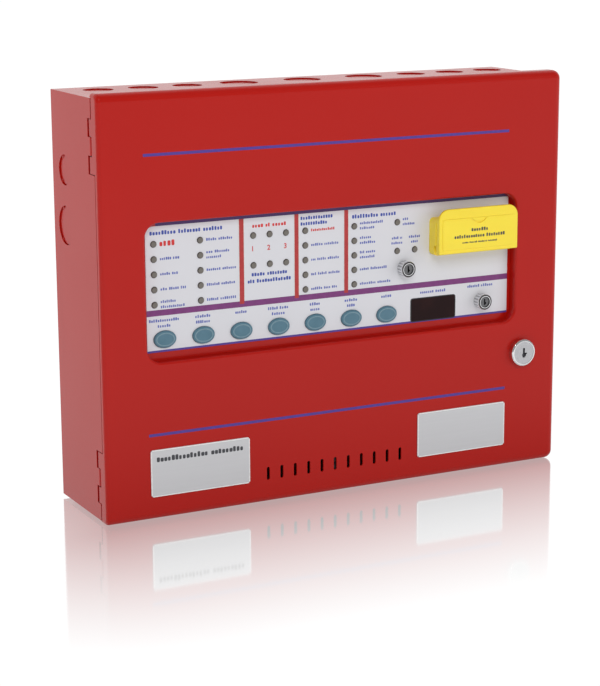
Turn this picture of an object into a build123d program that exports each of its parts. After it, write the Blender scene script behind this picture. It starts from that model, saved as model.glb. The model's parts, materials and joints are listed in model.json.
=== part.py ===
"""Fire alarm and extinguishant release control panel: a wall box with a hinged display door.

Frame: X to the right, +Y into the wall, +Z up. The origin is the middle of the box's back face,
so everything stands in front of the wall at negative Y. "Depth" below is the distance in front
of the wall, so a depth of 90 is Y = -90. All sizes are in millimetres.
"""

import os
from math import cos, radians, sin

from build123d import *

os.makedirs("parts", exist_ok=True)

# ---------------------------------------------------------------- driving dimensions
panel_width = 385.0
panel_height = 310.0
panel_depth = 90.0
sheet = 1.2
gap = 0.4
hole_clearance = 0.1
bore_clearance = 0.05

# back box, shorter than the door so that the door's flanges lap over it
box_left = -panel_width / 2
box_right = panel_width / 2 - 3.1
box_bottom = -panel_height / 2 + 2.0
box_top = panel_height / 2 - 3.4
box_front = 83.8
box_hinge_front = 78.4
box_bend = 1.5
box_right_corner = 5.0
lip_height = 6.0
lip_right_width = 10.0

# hinge: two knuckles of the door either side of one knuckle of the box
hinge_heights = (117.8, -120.8)
knuckle_radius = 2.75
pin_radius = 1.5
pin_x = box_left + knuckle_radius
pin_depth = 76.25
knuckle_pitch = 13.1
door_knuckle_length = 12.0
box_knuckle_length = 13.0
notch_back = 72.5
notch_length = 13.0
hinge_zone_reach = 19.7
pin_length = 39.0

# door
door_back = 78.0
door_edge_mid = 84.6
door_edge_hinge = 79.8
door_bend = 5.8
door_left_bend = 3.0
door_right_corner = 6.5

# drawn recess that carries the display
recess_left = -158.3
recess_right = 152.5
recess_bottom = -38.5
recess_top = 62.5
recess_corner = 11.0
recess_depth = 8.0
recess_edge = 1.8
recess_floor = panel_depth - recess_depth
floor_back = recess_floor - sheet

# printed overlay on the recess floor
overlay_left = -155.3
overlay_right = 149.6
overlay_bottom = -32.4
overlay_top = recess_top - 0.3
overlay_thickness = 0.4
overlay_face = recess_floor + overlay_thickness

# indicators
lamp_radius = 2.4
lamp_rows = [46.4 - 11.0 * row for row in range(5)]
lamp_columns = (-149.0, -112.7, -27.7, 13.5)
zone_lamp_columns = (-70.3, -57.0, -43.6)
zone_lamp_rows = (46.3, 24.3)
extra_lamps = ((50.5, 46.6), (50.5, 24.6), (65.8, 24.6))
lamp_places = [(x, z) for x in lamp_columns for z in lamp_rows]
lamp_places += [(x, z) for x in zone_lamp_columns for z in zone_lamp_rows]
lamp_places += list(extra_lamps)

# push buttons in one row
button_count = 7
button_pitch = 30.5
button_first_x = -141.7
button_z = -23.2
button_width = 17.4
button_height = 12.6
button_travel = 0.6
button_proud = 1.6
button_places = [(button_first_x + button_pitch * i, button_z) for i in range(button_count)]

# digit window
window_x, window_z = 82.5, -22.6
window_width, window_height, window_corner = 39.3, 17.5, 1.5
window_flange = 2.0
window_opening = (window_width + 0.2, window_height + 0.2, window_corner)

# two key switches
key_places = {"mode": (56.4, 11.0), "enable": (125.1, -20.8)}
bezel_radius = 6.1
bezel_depth = 90.0
flute_count = 16
flute_radius = 0.55
shank_radius = 5.0
plug_radius = 4.0
switch_back = 56.0

# manual release unit: base, drop-down flap and push button
release_left, release_right = 78.6, 149.8
release_bottom, release_top = 19.4, 48.0
release_corner = 3.5
release_face = 92.0
release_foot_face = 89.6
release_x = (release_left + release_right) / 2
release_button_z = 34.5
release_button_radius = 8.0
release_travel = 2.5
flap_left, flap_right = 79.0, 149.5
flap_bottom, flap_top = 20.9, 55.2
flap_face = 96.5
flap_wall = 1.8
flap_skirt_back = 92.3
flap_corner = 8.5
flap_pin_depth, flap_pin_z = 93.6, 22.9
flap_pin_radius = 1.0
flap_ledge_z = 47.6
release_screw_x, release_screw_radius, release_screw_length = 31.5, 1.45, 7.0
release_screw_places = [(release_x + side * release_screw_x, release_button_z) for side in (-1, 1)]

# cam lock
lock_x, lock_z = 158.7, -63.8
lock_bezel_radius = 10.8
lock_bezel_proud = 5.0
lock_shank_radius = 9.2
lock_flat = 8.2
lock_plug_radius = 7.0
lock_shank_back = 76.5
cam_front, cam_back = 75.6, 73.6
cam_reach = 26.5
cam_half_width = 6.0

# name plates, vent slots
plate_width, plate_height, plate_thickness = 79.2, 35.2, 0.8
plate_corner = 2.0
plate_centres = {"left": (-118.4, -119.8), "right": (104.5, -119.8)}
vent_count, vent_pitch = 11, 11.3
vent_first_x, vent_z = -63.4, -132.4
vent_length, vent_width = 10.0, 2.5
buzzer_x = vent_first_x + vent_pitch * (vent_count - 1) / 2

# knockouts, each a disc set back by most of the sheet and held by small bridges
knockout_small, knockout_large = 11.1, 14.3
knockout_depth = 25.0
knockout_setback = 1.0
knockout_slit = 0.4
knockout_bridge = 3.0
top_knockouts = [(x, knockout_small) for x in (-165.0, -130.0, -95.0, 95.0, 130.0, 165.0)]
top_knockouts += [(x, knockout_large) for x in (-53.0, 0.0, 53.0)]
side_knockouts = ((95.5, knockout_small), (55.2, knockout_large))

# holes for the four wall screws
wall_hole_radius = 3.25
wall_hole_x, wall_hole_z = 175.0, 135.0

# display board on studs behind the recess
display_board_front, display_board_back = 71.6, 70.0
display_board_left, display_board_right = -156.5, 151.0
display_board_bottom, display_board_top = -36.5, 60.5
stud_radius = 1.5
stud_places = [(x, z) for x in (-130.9, 33.0, 146.0) for z in (-6.0, 55.0)]
stud_back = 66.0

# chassis plate, main board and power parts in the box
chassis_left, chassis_right = -165.0, 135.0
chassis_bottom, chassis_top = -46.0, 140.0
chassis_back, chassis_front = 6.0, 7.2
chassis_fixings = [(x, z) for x in (-157.0, 127.0) for z in (-38.0, 132.0)]
board_left, board_right = -150.0, 45.0
board_bottom, board_top = -34.0, 128.0
board_back, board_front = 17.2, 18.8
board_fixings = [(x, z) for x in (-144.0, -52.5, 39.0) for z in (-28.0, 104.0)]
terminal_count, terminal_ways, terminal_pitch = 9, 4, 5.0
terminal_height, terminal_depth = 11.0, 14.0

# two lead-acid batteries standing on the bottom of the box
battery_width, battery_height, battery_depth = 151.0, 94.0, 65.0
battery_back = 2.0
battery_lefts = {"left": -166.0, "right": -11.0}
strap_bottom, strap_top = -112.0, -92.0
strap_foot = 14.0


# ---------------------------------------------------------------- planes and sketches
def front(depth, x=0.0, z=0.0):
    """Plane parallel to the wall, facing the viewer, with its origin at (x, z)."""
    return Plane(origin=(x, -depth, z), x_dir=(1, 0, 0), z_dir=(0, -1, 0))


def disc(plane, radius):
    with BuildSketch(plane) as sketch:
        Circle(radius)
    return sketch.sketch


def ring(plane, outer, inner):
    with BuildSketch(plane) as sketch:
        Circle(outer)
        Circle(inner, mode=Mode.SUBTRACT)
    return sketch.sketch


def oval(plane, width, height):
    with BuildSketch(plane) as sketch:
        Ellipse(width / 2, height / 2)
    return sketch.sketch


def block(plane, width, height, corner=0.0):
    with BuildSketch(plane) as sketch:
        if corner:
            RectangleRounded(width, height, corner)
        else:
            Rectangle(width, height)
    return sketch.sketch


def span(depth, left, right, bottom, top, corner=0.0):
    """Rectangle parallel to the wall, given by its four sides."""
    plane = front(depth, (left + right) / 2, (bottom + top) / 2)
    return block(plane, right - left, top - bottom, corner)


def hexagon(plane, across_flats):
    with BuildSketch(plane) as sketch:
        RegularPolygon(across_flats / 2, 6, major_radius=False)
    return sketch.sketch


def save(builder, name):
    builder.part.label = name
    export_step(builder.part, f"parts/{name}.step")


# ---------------------------------------------------------------- back box
def knockout_planes():
    """Plane on the outer surface and radius of every knockout."""
    places = []
    for x, radius in top_knockouts:
        plane = Plane(origin=(x, -knockout_depth, box_top), x_dir=(1, 0, 0), z_dir=(0, 0, 1))
        places.append((plane, radius))
    for z, radius in side_knockouts:
        left = Plane(origin=(box_left, -knockout_depth, z), x_dir=(0, 0, 1), z_dir=(-1, 0, 0))
        right = Plane(origin=(box_right, -knockout_depth, z), x_dir=(0, 0, 1), z_dir=(1, 0, 0))
        places += [(left, radius), (right, radius)]
    return places


def add_knockout(plane, radius):
    """Round hole with its blank set back in it, held by three bridges across the slit."""
    extrude(disc(plane.offset(0.5), radius), amount=-sheet - 1.0, mode=Mode.SUBTRACT)
    extrude(disc(plane.offset(-knockout_setback), radius - knockout_slit), amount=-sheet)
    for angle in (25.0, 145.0, 265.0):
        mid = radius * cos(radians(angle)), radius * sin(radians(angle))
        with BuildSketch(plane.offset(-sheet / 2)) as bridge:
            with Locations(Location((*mid, 0), angle)):
                Rectangle(knockout_bridge, knockout_bridge)
        extrude(bridge.sketch, amount=-knockout_setback)


def hinge_section(z, strip_front):
    """Curled knuckle around the pin with its strip of sheet, in a plane across the pin."""
    with BuildSketch(Plane.XY.offset(z)) as section:
        with Locations((pin_x, -pin_depth)):
            Circle(knuckle_radius)
        with Locations((box_left + sheet / 2, -(pin_depth + strip_front) / 2)):
            Rectangle(sheet, abs(pin_depth - strip_front))
        with Locations((pin_x, -pin_depth)):
            Circle(pin_radius + bore_clearance, mode=Mode.SUBTRACT)
    return section.sketch


with BuildPart() as back_box:
    extrude(span(0, box_left, box_right, box_bottom, box_top), amount=box_front)
    right_side = back_box.faces().sort_by(Axis.X)[-1]
    fillet(right_side.edges().filter_by(Axis.Y), box_right_corner)
    fillet(back_box.faces().sort_by(Axis.Y)[-1].edges(), box_bend)
    inner = (box_left + sheet, box_right - sheet, box_bottom + sheet, box_top - sheet)
    with BuildSketch(front(sheet, (inner[0] + inner[1]) / 2, (inner[2] + inner[3]) / 2)) as inside:
        Rectangle(inner[1] - inner[0], inner[3] - inner[2])
        fillet(inside.vertices().group_by(Axis.X)[-1], box_right_corner - sheet)
    extrude(inside.sketch, amount=box_front, mode=Mode.SUBTRACT)
    # lips folded inwards along the top, bottom and right walls
    lip_depth = box_front - sheet
    lip_start = inner[0] + 1.0
    lip_corner = box_right_corner
    extrude(span(lip_depth, lip_start, inner[1] - lip_corner, inner[3] - lip_height, inner[3]), amount=sheet)
    extrude(span(lip_depth, lip_start, inner[1] - lip_corner, inner[2], inner[2] + lip_height), amount=sheet)
    right_lip = (inner[1] - lip_right_width, inner[1], inner[2] + lip_corner, inner[3] - lip_corner)
    extrude(span(lip_depth, *right_lip), amount=sheet)
    # the left wall stops further back beside each hinge, and further still behind its knuckles
    for side, hinge_z in zip((1, -1), hinge_heights):
        ends = sorted((hinge_z - side * hinge_zone_reach, side * panel_height))
        edge = (box_left - 1, box_left + sheet)
        zone = span(box_hinge_front, edge[0], edge[1] + 1.0, *ends)
        extrude(zone, amount=panel_depth - box_hinge_front, mode=Mode.SUBTRACT)
        reach = knuckle_pitch + notch_length / 2
        notch = span(notch_back, *edge, hinge_z - reach, hinge_z + reach)
        extrude(notch, amount=panel_depth - notch_back, mode=Mode.SUBTRACT)
        start = hinge_z - box_knuckle_length / 2
        extrude(hinge_section(start, notch_back), amount=box_knuckle_length)
        web = span(notch_back - 1, box_left, box_left + sheet, start, start + box_knuckle_length)
        extrude(web, amount=1.5)
    for place, knockout_radius in knockout_planes():
        add_knockout(place, knockout_radius)
    with BuildSketch(front(-1)) as wall_holes:
        with GridLocations(2 * wall_hole_x, 2 * wall_hole_z, 2, 2):
            Circle(wall_hole_radius)
    extrude(wall_holes.sketch, amount=sheet + 2, mode=Mode.SUBTRACT)
save(back_box, "back_box")

with BuildPart() as hinge_pins:
    for hinge_z in hinge_heights:
        pin_plane = Plane(origin=(pin_x, -pin_depth, hinge_z - pin_length / 2))
        extrude(disc(pin_plane, pin_radius), amount=pin_length)
save(hinge_pins, "hinge_pins")

# angle welded inside the right wall, which the lock's cam turns behind
catch_front, catch_thickness, catch_reach, catch_height = 78.0, 1.5, 13.0, 36.0
with BuildPart() as lock_catch:
    wall = box_right - sheet
    low, high = lock_z - catch_height / 2, lock_z + catch_height / 2
    extrude(span(catch_front - catch_thickness, wall - catch_reach, wall, low, high), amount=catch_thickness)
    extrude(span(catch_front - 18.0, wall - catch_thickness, wall, low, high), amount=18.0)
    fillet(lock_catch.edges().filter_by(Axis.Z).sort_by(Axis.Y)[0:1], 0.6)
save(lock_catch, "lock_catch")


# ---------------------------------------------------------------- door
def door_solid(inset, back):
    """Pillow-shaped block of the door: square at the left, rounded at the right."""
    half_width, half_height = panel_width / 2 - inset, panel_height / 2 - inset
    with BuildPart() as solid:
        with BuildSketch(front(back)) as outline:
            Rectangle(2 * half_width, 2 * half_height)
            right_corners = outline.vertices().group_by(Axis.X)[-1]
            fillet(right_corners, door_right_corner - inset)
        extrude(amount=panel_depth - inset - back)
        rim = solid.faces().sort_by(Axis.Y)[0].edges()
        fillet([e for e in rim if e.center().X > -half_width + 1], door_bend - inset)
        left_face = solid.faces().sort_by(Axis.X)[0]
        fillet([e for e in left_face.edges() if e.center().Y < -back - 0.1], door_left_bend - inset)
    return solid.part


door_outer = door_solid(0.0, door_back)
door_inner = door_solid(sheet, door_back - 2.0)

with BuildPart() as door_shell:
    add(door_outer)
    add(door_inner, mode=Mode.SUBTRACT)
    # the left flange is shorter than the others, most of all between the hinges
    left_edge = (box_left - 1, box_left + sheet + 2)
    step_gap = 0.6
    mid_reach = hinge_zone_reach - step_gap
    mid_zone = (hinge_heights[1] + mid_reach, hinge_heights[0] - mid_reach)
    flange_top, flange_bottom = panel_height / 2 - door_left_bend, -panel_height / 2 + sheet + gap
    mid_cut = span(door_back - 1, *left_edge, *mid_zone)
    extrude(mid_cut, amount=door_edge_mid - door_back + 1, mode=Mode.SUBTRACT)
    full_zone = span(door_back - 1, *left_edge, flange_bottom, flange_top)
    extrude(full_zone, amount=door_edge_hinge - door_back + 1, mode=Mode.SUBTRACT)
    # knuckles that curl round the hinge pins
    for hinge_z in hinge_heights:
        for step in (-knuckle_pitch, knuckle_pitch):
            start = hinge_z + step - door_knuckle_length / 2
            extrude(hinge_section(start, door_edge_hinge + 0.5), amount=door_knuckle_length)
    # drawn recess
    tub = span(
        floor_back, recess_left - sheet, recess_right + sheet, recess_bottom - sheet, recess_top + sheet,
        recess_corner + sheet,
    )
    extrude(tub, amount=recess_depth)
    mouth = span(recess_floor, recess_left, recess_right, recess_bottom, recess_top, recess_corner)
    extrude(mouth, amount=recess_depth + 1, mode=Mode.SUBTRACT)
    lip_edges = door_shell.faces().sort_by(Axis.Y)[0].inner_wires()[0].edges()
    fillet(lip_edges, recess_edge)
    # openings in the recess floor
    through = 3 * sheet
    for x, z in lamp_places:
        extrude(disc(front(floor_back - 1, x, z), lamp_radius + 0.2), amount=through, mode=Mode.SUBTRACT)
    for x, z in button_places:
        opening = oval(front(floor_back - 1, x, z), button_width + gap, button_height + gap)
        extrude(opening, amount=through, mode=Mode.SUBTRACT)
    window = block(front(floor_back - 1, window_x, window_z), *window_opening)
    extrude(window, amount=through, mode=Mode.SUBTRACT)
    round_holes = [(x, z, shank_radius + hole_clearance) for x, z in key_places.values()]
    round_holes += [(release_x, release_button_z, release_button_radius + 1.9)]
    round_holes += [(x, z, release_screw_radius + 0.3) for x, z in release_screw_places]
    for x, z, radius in round_holes:
        extrude(disc(front(floor_back - 1, x, z), radius), amount=through, mode=Mode.SUBTRACT)
    # hole with two flats for the lock, and the row of vent slots for the buzzer
    with BuildSketch(front(panel_depth - 2 * sheet, lock_x, lock_z)) as lock_hole:
        Circle(lock_shank_radius + hole_clearance)
        Rectangle(2 * lock_flat + 2 * hole_clearance, 3 * lock_shank_radius, mode=Mode.INTERSECT)
    extrude(lock_hole.sketch, amount=through, mode=Mode.SUBTRACT)
    with BuildSketch(front(panel_depth - 2 * sheet, buzzer_x, vent_z)) as vents:
        with GridLocations(vent_pitch, vent_pitch, vent_count, 1):
            SlotOverall(vent_length, vent_width, rotation=90)
    extrude(vents.sketch, amount=through, mode=Mode.SUBTRACT)
save(door_shell, "door_shell")

with BuildPart() as door_studs:
    for x, z in stud_places:
        extrude(disc(front(stud_back, x, z), stud_radius), amount=floor_back - stud_back)
save(door_studs, "door_studs")

with BuildPart() as stud_spacers:
    for x, z in stud_places:
        sleeve = ring(front(display_board_front, x, z), 3.0, stud_radius + hole_clearance)
        extrude(sleeve, amount=floor_back - display_board_front)
save(stud_spacers, "stud_spacers")

# ---------------------------------------------------------------- overlay and what shows through it
with BuildPart() as overlay_panel:
    sheet_area = span(recess_floor, overlay_left, overlay_right, overlay_bottom, overlay_top)
    extrude(sheet_area, amount=overlay_thickness)
    # its top corners follow the recess
    recess_sides = (recess_left + 0.3, recess_right - 0.3, recess_bottom + 0.3, recess_top - 0.3)
    recess_area = span(recess_floor, *recess_sides, recess_corner - 0.3)
    extrude(recess_area, amount=overlay_thickness, mode=Mode.INTERSECT)
    cut_depth = 2 * overlay_thickness
    for x, z in lamp_places:
        lamp_hole = disc(front(recess_floor, x, z), lamp_radius + hole_clearance)
        extrude(lamp_hole, amount=cut_depth, mode=Mode.SUBTRACT)
    for x, z in button_places:
        opening = oval(front(recess_floor, x, z), button_width + gap, button_height + gap)
        extrude(opening, amount=cut_depth, mode=Mode.SUBTRACT)
    window = block(front(recess_floor, window_x, window_z), *window_opening)
    extrude(window, amount=cut_depth, mode=Mode.SUBTRACT)
    for x, z, radius in round_holes:
        extrude(disc(front(recess_floor, x, z), radius), amount=cut_depth, mode=Mode.SUBTRACT)
save(overlay_panel, "overlay_panel")

lamp_proud = 0.9
lamp_flange = 1.0
with BuildPart() as indicator_lamps:
    for x, z in lamp_places:
        body = disc(front(display_board_front, x, z), lamp_radius)
        extrude(body, amount=overlay_face + lamp_proud - display_board_front)
        extrude(disc(front(display_board_front, x, z), lamp_radius + 0.4), amount=lamp_flange)
    domes = indicator_lamps.faces().filter_by(Axis.Y).group_by(Axis.Y)[0].edges()
    fillet(domes, 0.8)
save(indicator_lamps, "indicator_lamps")

with BuildPart() as display_window:
    flange_face = block(
        front(floor_back - 1.0, window_x, window_z),
        window_width + 2 * window_flange, window_height + 2 * window_flange, 1.0,
    )
    extrude(flange_face, amount=1.0)
    pane = block(front(floor_back, window_x, window_z), window_width, window_height, window_corner)
    extrude(pane, amount=1.8)
save(display_window, "display_window")

digit_count = 2
module_depth = 7.0
with BuildPart() as digit_module:
    case = block(front(display_board_front, window_x, window_z), 34.0, 14.0, 0.5)
    extrude(case, amount=module_depth)
    for digit in range(digit_count):
        digit_x = window_x + 12.0 * (digit - (digit_count - 1) / 2)
        dimple = block(front(display_board_front + module_depth - 0.4, digit_x, window_z), 8.0, 11.0, 0.4)
        extrude(dimple, amount=1.0, mode=Mode.SUBTRACT)
save(digit_module, "digit_module")

# ---------------------------------------------------------------- display board
with BuildPart() as display_board:
    sides = (display_board_left, display_board_right, display_board_bottom, display_board_top)
    board_thickness = display_board_front - display_board_back
    extrude(span(display_board_back, *sides, 2.0), amount=board_thickness)
    board_holes = [(x, z, stud_radius + 0.2) for x, z in stud_places]
    board_holes += [(x, z, shank_radius + 0.5) for x, z in key_places.values()]
    board_holes += [(release_x, release_button_z, 3.6)]
    for x, z, radius in board_holes:
        extrude(disc(front(display_board_back, x, z), radius), amount=board_thickness, mode=Mode.SUBTRACT)
save(display_board, "display_board")

tact_body, tact_height, tact_plunger = 6.0, 3.4, 1.2
tact_front = display_board_front + tact_height + tact_plunger
with BuildPart() as button_switches:
    for x, z in button_places:
        extrude(block(front(display_board_front, x, z), tact_body, tact_body, 0.4), amount=tact_height)
        plunger = disc(front(display_board_front + tact_height, x, z), 1.6)
        extrude(plunger, amount=tact_plunger - button_travel - 0.1)
save(button_switches, "button_switches")

with BuildPart() as release_switch:
    body = block(front(display_board_back - 9.0, release_x, release_button_z), 20.0, 12.0, 0.8)
    extrude(body, amount=9.0)
save(release_switch, "release_switch")

display_chips = (
    (-90.0, 20.0, 14.0, 14.0), (-40.0, 20.0, 12.0, 8.0), (0.0, 22.0, 12.0, 8.0), (-90.0, 44.0, 8.0, 5.0),
)
with BuildPart() as display_board_chips:
    for x, z, chip_width, chip_height in display_chips:
        extrude(block(front(display_board_back - 1.6, x, z), chip_width, chip_height, 0.4), amount=1.6)
save(display_board_chips, "display_board_chips")


def ribbon_header(depth, x, z, height):
    """Box header for a ribbon cable: a shrouded well with two rows of pins."""
    with BuildPart() as header:
        extrude(block(front(depth, x, z), 30.0, 9.0, 0.5), amount=height)
        well = block(front(depth + 1.5 if height > 0 else depth - 1.5, x, z), 27.0, 6.4)
        extrude(well, amount=height, mode=Mode.SUBTRACT)
        with BuildSketch(front(depth, x, z)) as pins:
            with GridLocations(2.54, 2.54, 8, 2):
                Rectangle(0.64, 0.64)
        extrude(pins.sketch, amount=height * 0.8)
    return header


save(ribbon_header(display_board_back, -20.0, 44.0, -8.0), "display_ribbon_header")

# ---------------------------------------------------------------- push buttons
button_flange_front = floor_back - 0.2
button_flange_back = button_flange_front - 1.0
for number, (x, z) in enumerate(button_places, start=1):
    with BuildPart() as button:
        cap_front = overlay_face + button_proud
        cap = oval(front(button_flange_front, x, z), button_width, button_height)
        extrude(cap, amount=cap_front - button_flange_front)
        fillet(button.faces().sort_by(Axis.Y)[0].edges(), 0.9)
        extrude(oval(front(button_flange_back, x, z), button_width + 2.0, button_height + 2.0), amount=1.0)
        extrude(disc(front(tact_front, x, z), 2.0), amount=button_flange_back - tact_front)
    save(button, f"button_{number}")


# ---------------------------------------------------------------- key switches
def key_switch_body(x, z):
    """Fluted bezel, threaded shank through the panel and a contact block behind the board."""
    with BuildPart() as body:
        with BuildSketch(front(overlay_face, x, z)) as bezel:
            Circle(bezel_radius)
            with PolarLocations(bezel_radius + 0.1, flute_count):
                Circle(flute_radius, mode=Mode.SUBTRACT)
        extrude(bezel.sketch, amount=bezel_depth - overlay_face)
        rim = disc(front(bezel_depth - 1.2, x, z), bezel_radius)
        extrude(rim, amount=1.2)
        front_edge = body.faces().sort_by(Axis.Y)[0].edges()
        fillet(front_edge, 0.5)
        extrude(disc(front(switch_back + 8.0, x, z), shank_radius), amount=overlay_face - switch_back - 8.0)
        extrude(block(front(switch_back, x, z), 13.0, 13.0, 1.0), amount=8.0)
        bore = disc(front(switch_back + 3.0, x, z), plug_radius + bore_clearance)
        extrude(bore, amount=panel_depth, mode=Mode.SUBTRACT)
    return body


def keyed_plug(x, z, radius, front_depth, back_depth, slot_length):
    """Round plug with a keyway in its face."""
    with BuildPart() as plug:
        extrude(disc(front(back_depth, x, z), radius), amount=front_depth - back_depth)
        fillet(plug.faces().sort_by(Axis.Y)[0].edges(), 0.3)
        with BuildSketch(front(front_depth - 5.0, x, z)) as keyway:
            Rectangle(slot_length * 0.22, slot_length)
            with Locations((slot_length * 0.16, -slot_length * 0.18)):
                Rectangle(slot_length * 0.22, slot_length * 0.3)
        extrude(keyway.sketch, amount=6.0, mode=Mode.SUBTRACT)
    return plug


for name, (x, z) in key_places.items():
    save(key_switch_body(x, z), f"{name}_switch_body")
    save(keyed_plug(x, z, plug_radius, bezel_depth - 0.8, switch_back + 4.0, 5.0), f"{name}_switch_plug")

# ---------------------------------------------------------------- manual release unit
well_half_width, well_bottom, well_top, well_floor = 27.0, 23.5, 45.5, 84.2
lug_inner, lug_outer = 30.5, 33.0
lug_radius = 1.6
lug_gap = 0.35


def pin_plane_at(x):
    """Plane across the flap's pin, facing +X."""
    return Plane(origin=(x, -flap_pin_depth, flap_pin_z), x_dir=(0, 1, 0), z_dir=(1, 0, 0))


with BuildPart() as release_base:
    body = span(overlay_face, release_left, release_right, release_bottom, release_top, release_corner)
    extrude(body, amount=release_face - overlay_face)
    # set back along the foot so that the flap's lower edge can swing
    foot = span(release_foot_face, release_left - 1, release_right + 1, release_bottom - 1, flap_pin_z + 4.2)
    extrude(foot, amount=release_face, mode=Mode.SUBTRACT)
    well_sides = (release_x - well_half_width, release_x + well_half_width)
    well = span(well_floor, *well_sides, well_bottom, well_top, 2.0)
    extrude(well, amount=release_face, mode=Mode.SUBTRACT)
    collar = disc(front(floor_back - 1.0, release_x, release_button_z), release_button_radius + 1.7)
    extrude(collar, amount=well_floor - floor_back + 1.0 + 0.8)
    for side in (-1, 1):
        near, far = release_x + side * lug_inner, release_x + side * lug_outer
        neck = span(release_foot_face, min(near, far), max(near, far), flap_pin_z, flap_pin_z + lug_radius)
        extrude(neck, amount=flap_pin_depth - release_foot_face)
        extrude(disc(pin_plane_at(min(near, far)), lug_radius), amount=abs(far - near))
    pin_bore = disc(pin_plane_at(release_left - 1), flap_pin_radius + bore_clearance)
    extrude(pin_bore, amount=release_right - release_left + 2, mode=Mode.SUBTRACT)
    guide = disc(front(floor_back - 2.0, release_x, release_button_z), release_button_radius + bore_clearance)
    extrude(guide, amount=panel_depth, mode=Mode.SUBTRACT)
    for x, z in release_screw_places:
        pilot = disc(front(floor_back, x, z), release_screw_radius)
        extrude(pilot, amount=release_screw_length + 0.5, mode=Mode.SUBTRACT)
save(release_base, "release_base")

with BuildPart() as release_screws:
    for x, z in release_screw_places:
        extrude(disc(front(floor_back, x, z), release_screw_radius), amount=release_screw_length)
        extrude(disc(front(floor_back - 2.0, x, z), 2.8), amount=2.0)
save(release_screws, "release_screws")

with BuildPart() as release_button:
    extrude(disc(front(80.0, release_x, release_button_z), release_button_radius), amount=9.2)
    fillet(release_button.faces().sort_by(Axis.Y)[0].edges(), 0.8)
    stem_back = display_board_back + release_travel + 0.1
    extrude(disc(front(stem_back, release_x, release_button_z), 2.5), amount=8.0)
save(release_button, "release_button")


def flap_outline(depth, inset, top, top_corner):
    """Flap seen from the front: square at the foot, rounded at the two top corners."""
    left, right, bottom = flap_left + inset, flap_right - inset, flap_bottom + inset
    with BuildSketch(front(depth, (left + right) / 2, (bottom + top) / 2)) as outline:
        Rectangle(right - left, top - bottom)
        fillet(outline.vertices().group_by(Axis.Y)[-1], top_corner)
        fillet(outline.vertices().group_by(Axis.Y)[0], 0.8)
    return outline.sketch


notch_z, notch_radius, notch_rise = 44.6, 8.0, 2.6
with BuildPart() as release_flap:
    plate_back = flap_face - flap_wall
    extrude(flap_outline(plate_back, 0.0, flap_top, flap_corner), amount=flap_wall)
    fillet(release_flap.faces().sort_by(Axis.Y)[0].edges(), 0.7)
    # skirt down both sides and along the top of the base, open at the back
    extrude(flap_outline(flap_skirt_back, 0.0, release_top + 2.6, 4.0), amount=plate_back - flap_skirt_back)
    hollow = flap_outline(flap_skirt_back, flap_wall, release_top + 0.8, 2.2)
    extrude(hollow, amount=plate_back - flap_skirt_back, mode=Mode.SUBTRACT)
    skirt_sides = (flap_left + flap_wall, flap_right - flap_wall)
    foot_gap = span(flap_skirt_back, *skirt_sides, flap_bottom - 1, flap_pin_z)
    extrude(foot_gap, amount=plate_back - flap_skirt_back, mode=Mode.SUBTRACT)
    # raised field below the ledge, and a crescent for the thumb
    field = span(flap_face, flap_left + 3.0, flap_right - 3.0, flap_bottom + 3.0, flap_ledge_z, 1.2)
    extrude(field, amount=0.5)
    fillet(release_flap.faces().sort_by(Axis.Y)[0].edges(), 0.3)
    with BuildSketch(front(flap_face - 0.3, (flap_left + flap_right) / 2, notch_z)) as crescent:
        with Locations((0, notch_radius - notch_rise / 2)):
            Circle(notch_radius)
        with Locations((0, 1.25 * notch_radius - notch_rise / 2 + 1.4)):
            Circle(1.25 * notch_radius, mode=Mode.SUBTRACT)
    extrude(crescent.sketch, amount=1.5, mode=Mode.SUBTRACT)
    # bosses for the pin, clear of the base's lugs
    for side in (-1, 1):
        near = release_x + side * (lug_outer + lug_gap)
        far = (flap_left + 0.4) if side < 0 else (flap_right - 0.4)
        extrude(disc(pin_plane_at(min(near, far)), 1.9), amount=abs(far - near))
        # round pocket that lets the plate turn past the lug
        low = release_x + min(side * lug_inner, side * lug_outer) - lug_gap
        pocket = disc(pin_plane_at(low), lug_radius + lug_gap)
        extrude(pocket, amount=lug_outer - lug_inner + 2 * lug_gap, mode=Mode.SUBTRACT)
    pin_hole = disc(pin_plane_at(flap_left + 0.4), flap_pin_radius)
    extrude(pin_hole, amount=flap_right - flap_left - 0.8, mode=Mode.SUBTRACT)
save(release_flap, "release_flap")

with BuildPart() as release_flap_pin:
    extrude(disc(pin_plane_at(flap_left + 0.4), flap_pin_radius), amount=flap_right - flap_left - 0.8)
save(release_flap_pin, "release_flap_pin")

# ---------------------------------------------------------------- cam lock
with BuildPart() as lock_barrel:
    extrude(disc(front(panel_depth, lock_x, lock_z), lock_bezel_radius), amount=lock_bezel_proud)
    fillet(lock_barrel.faces().sort_by(Axis.Y)[0].edges(), 1.5)
    with BuildSketch(front(lock_shank_back, lock_x, lock_z)) as shank:
        Circle(lock_shank_radius)
        Rectangle(2 * lock_flat, 3 * lock_shank_radius, mode=Mode.INTERSECT)
    extrude(shank.sketch, amount=panel_depth - lock_shank_back)
    counterbore = disc(front(panel_depth + lock_bezel_proud - 0.7, lock_x, lock_z), lock_bezel_radius - 1.8)
    extrude(counterbore, amount=2.0, mode=Mode.SUBTRACT)
    plug_bore = disc(front(lock_shank_back - 1, lock_x, lock_z), lock_plug_radius + bore_clearance)
    extrude(plug_bore, amount=panel_depth, mode=Mode.SUBTRACT)
save(lock_barrel, "lock_barrel")

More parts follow.
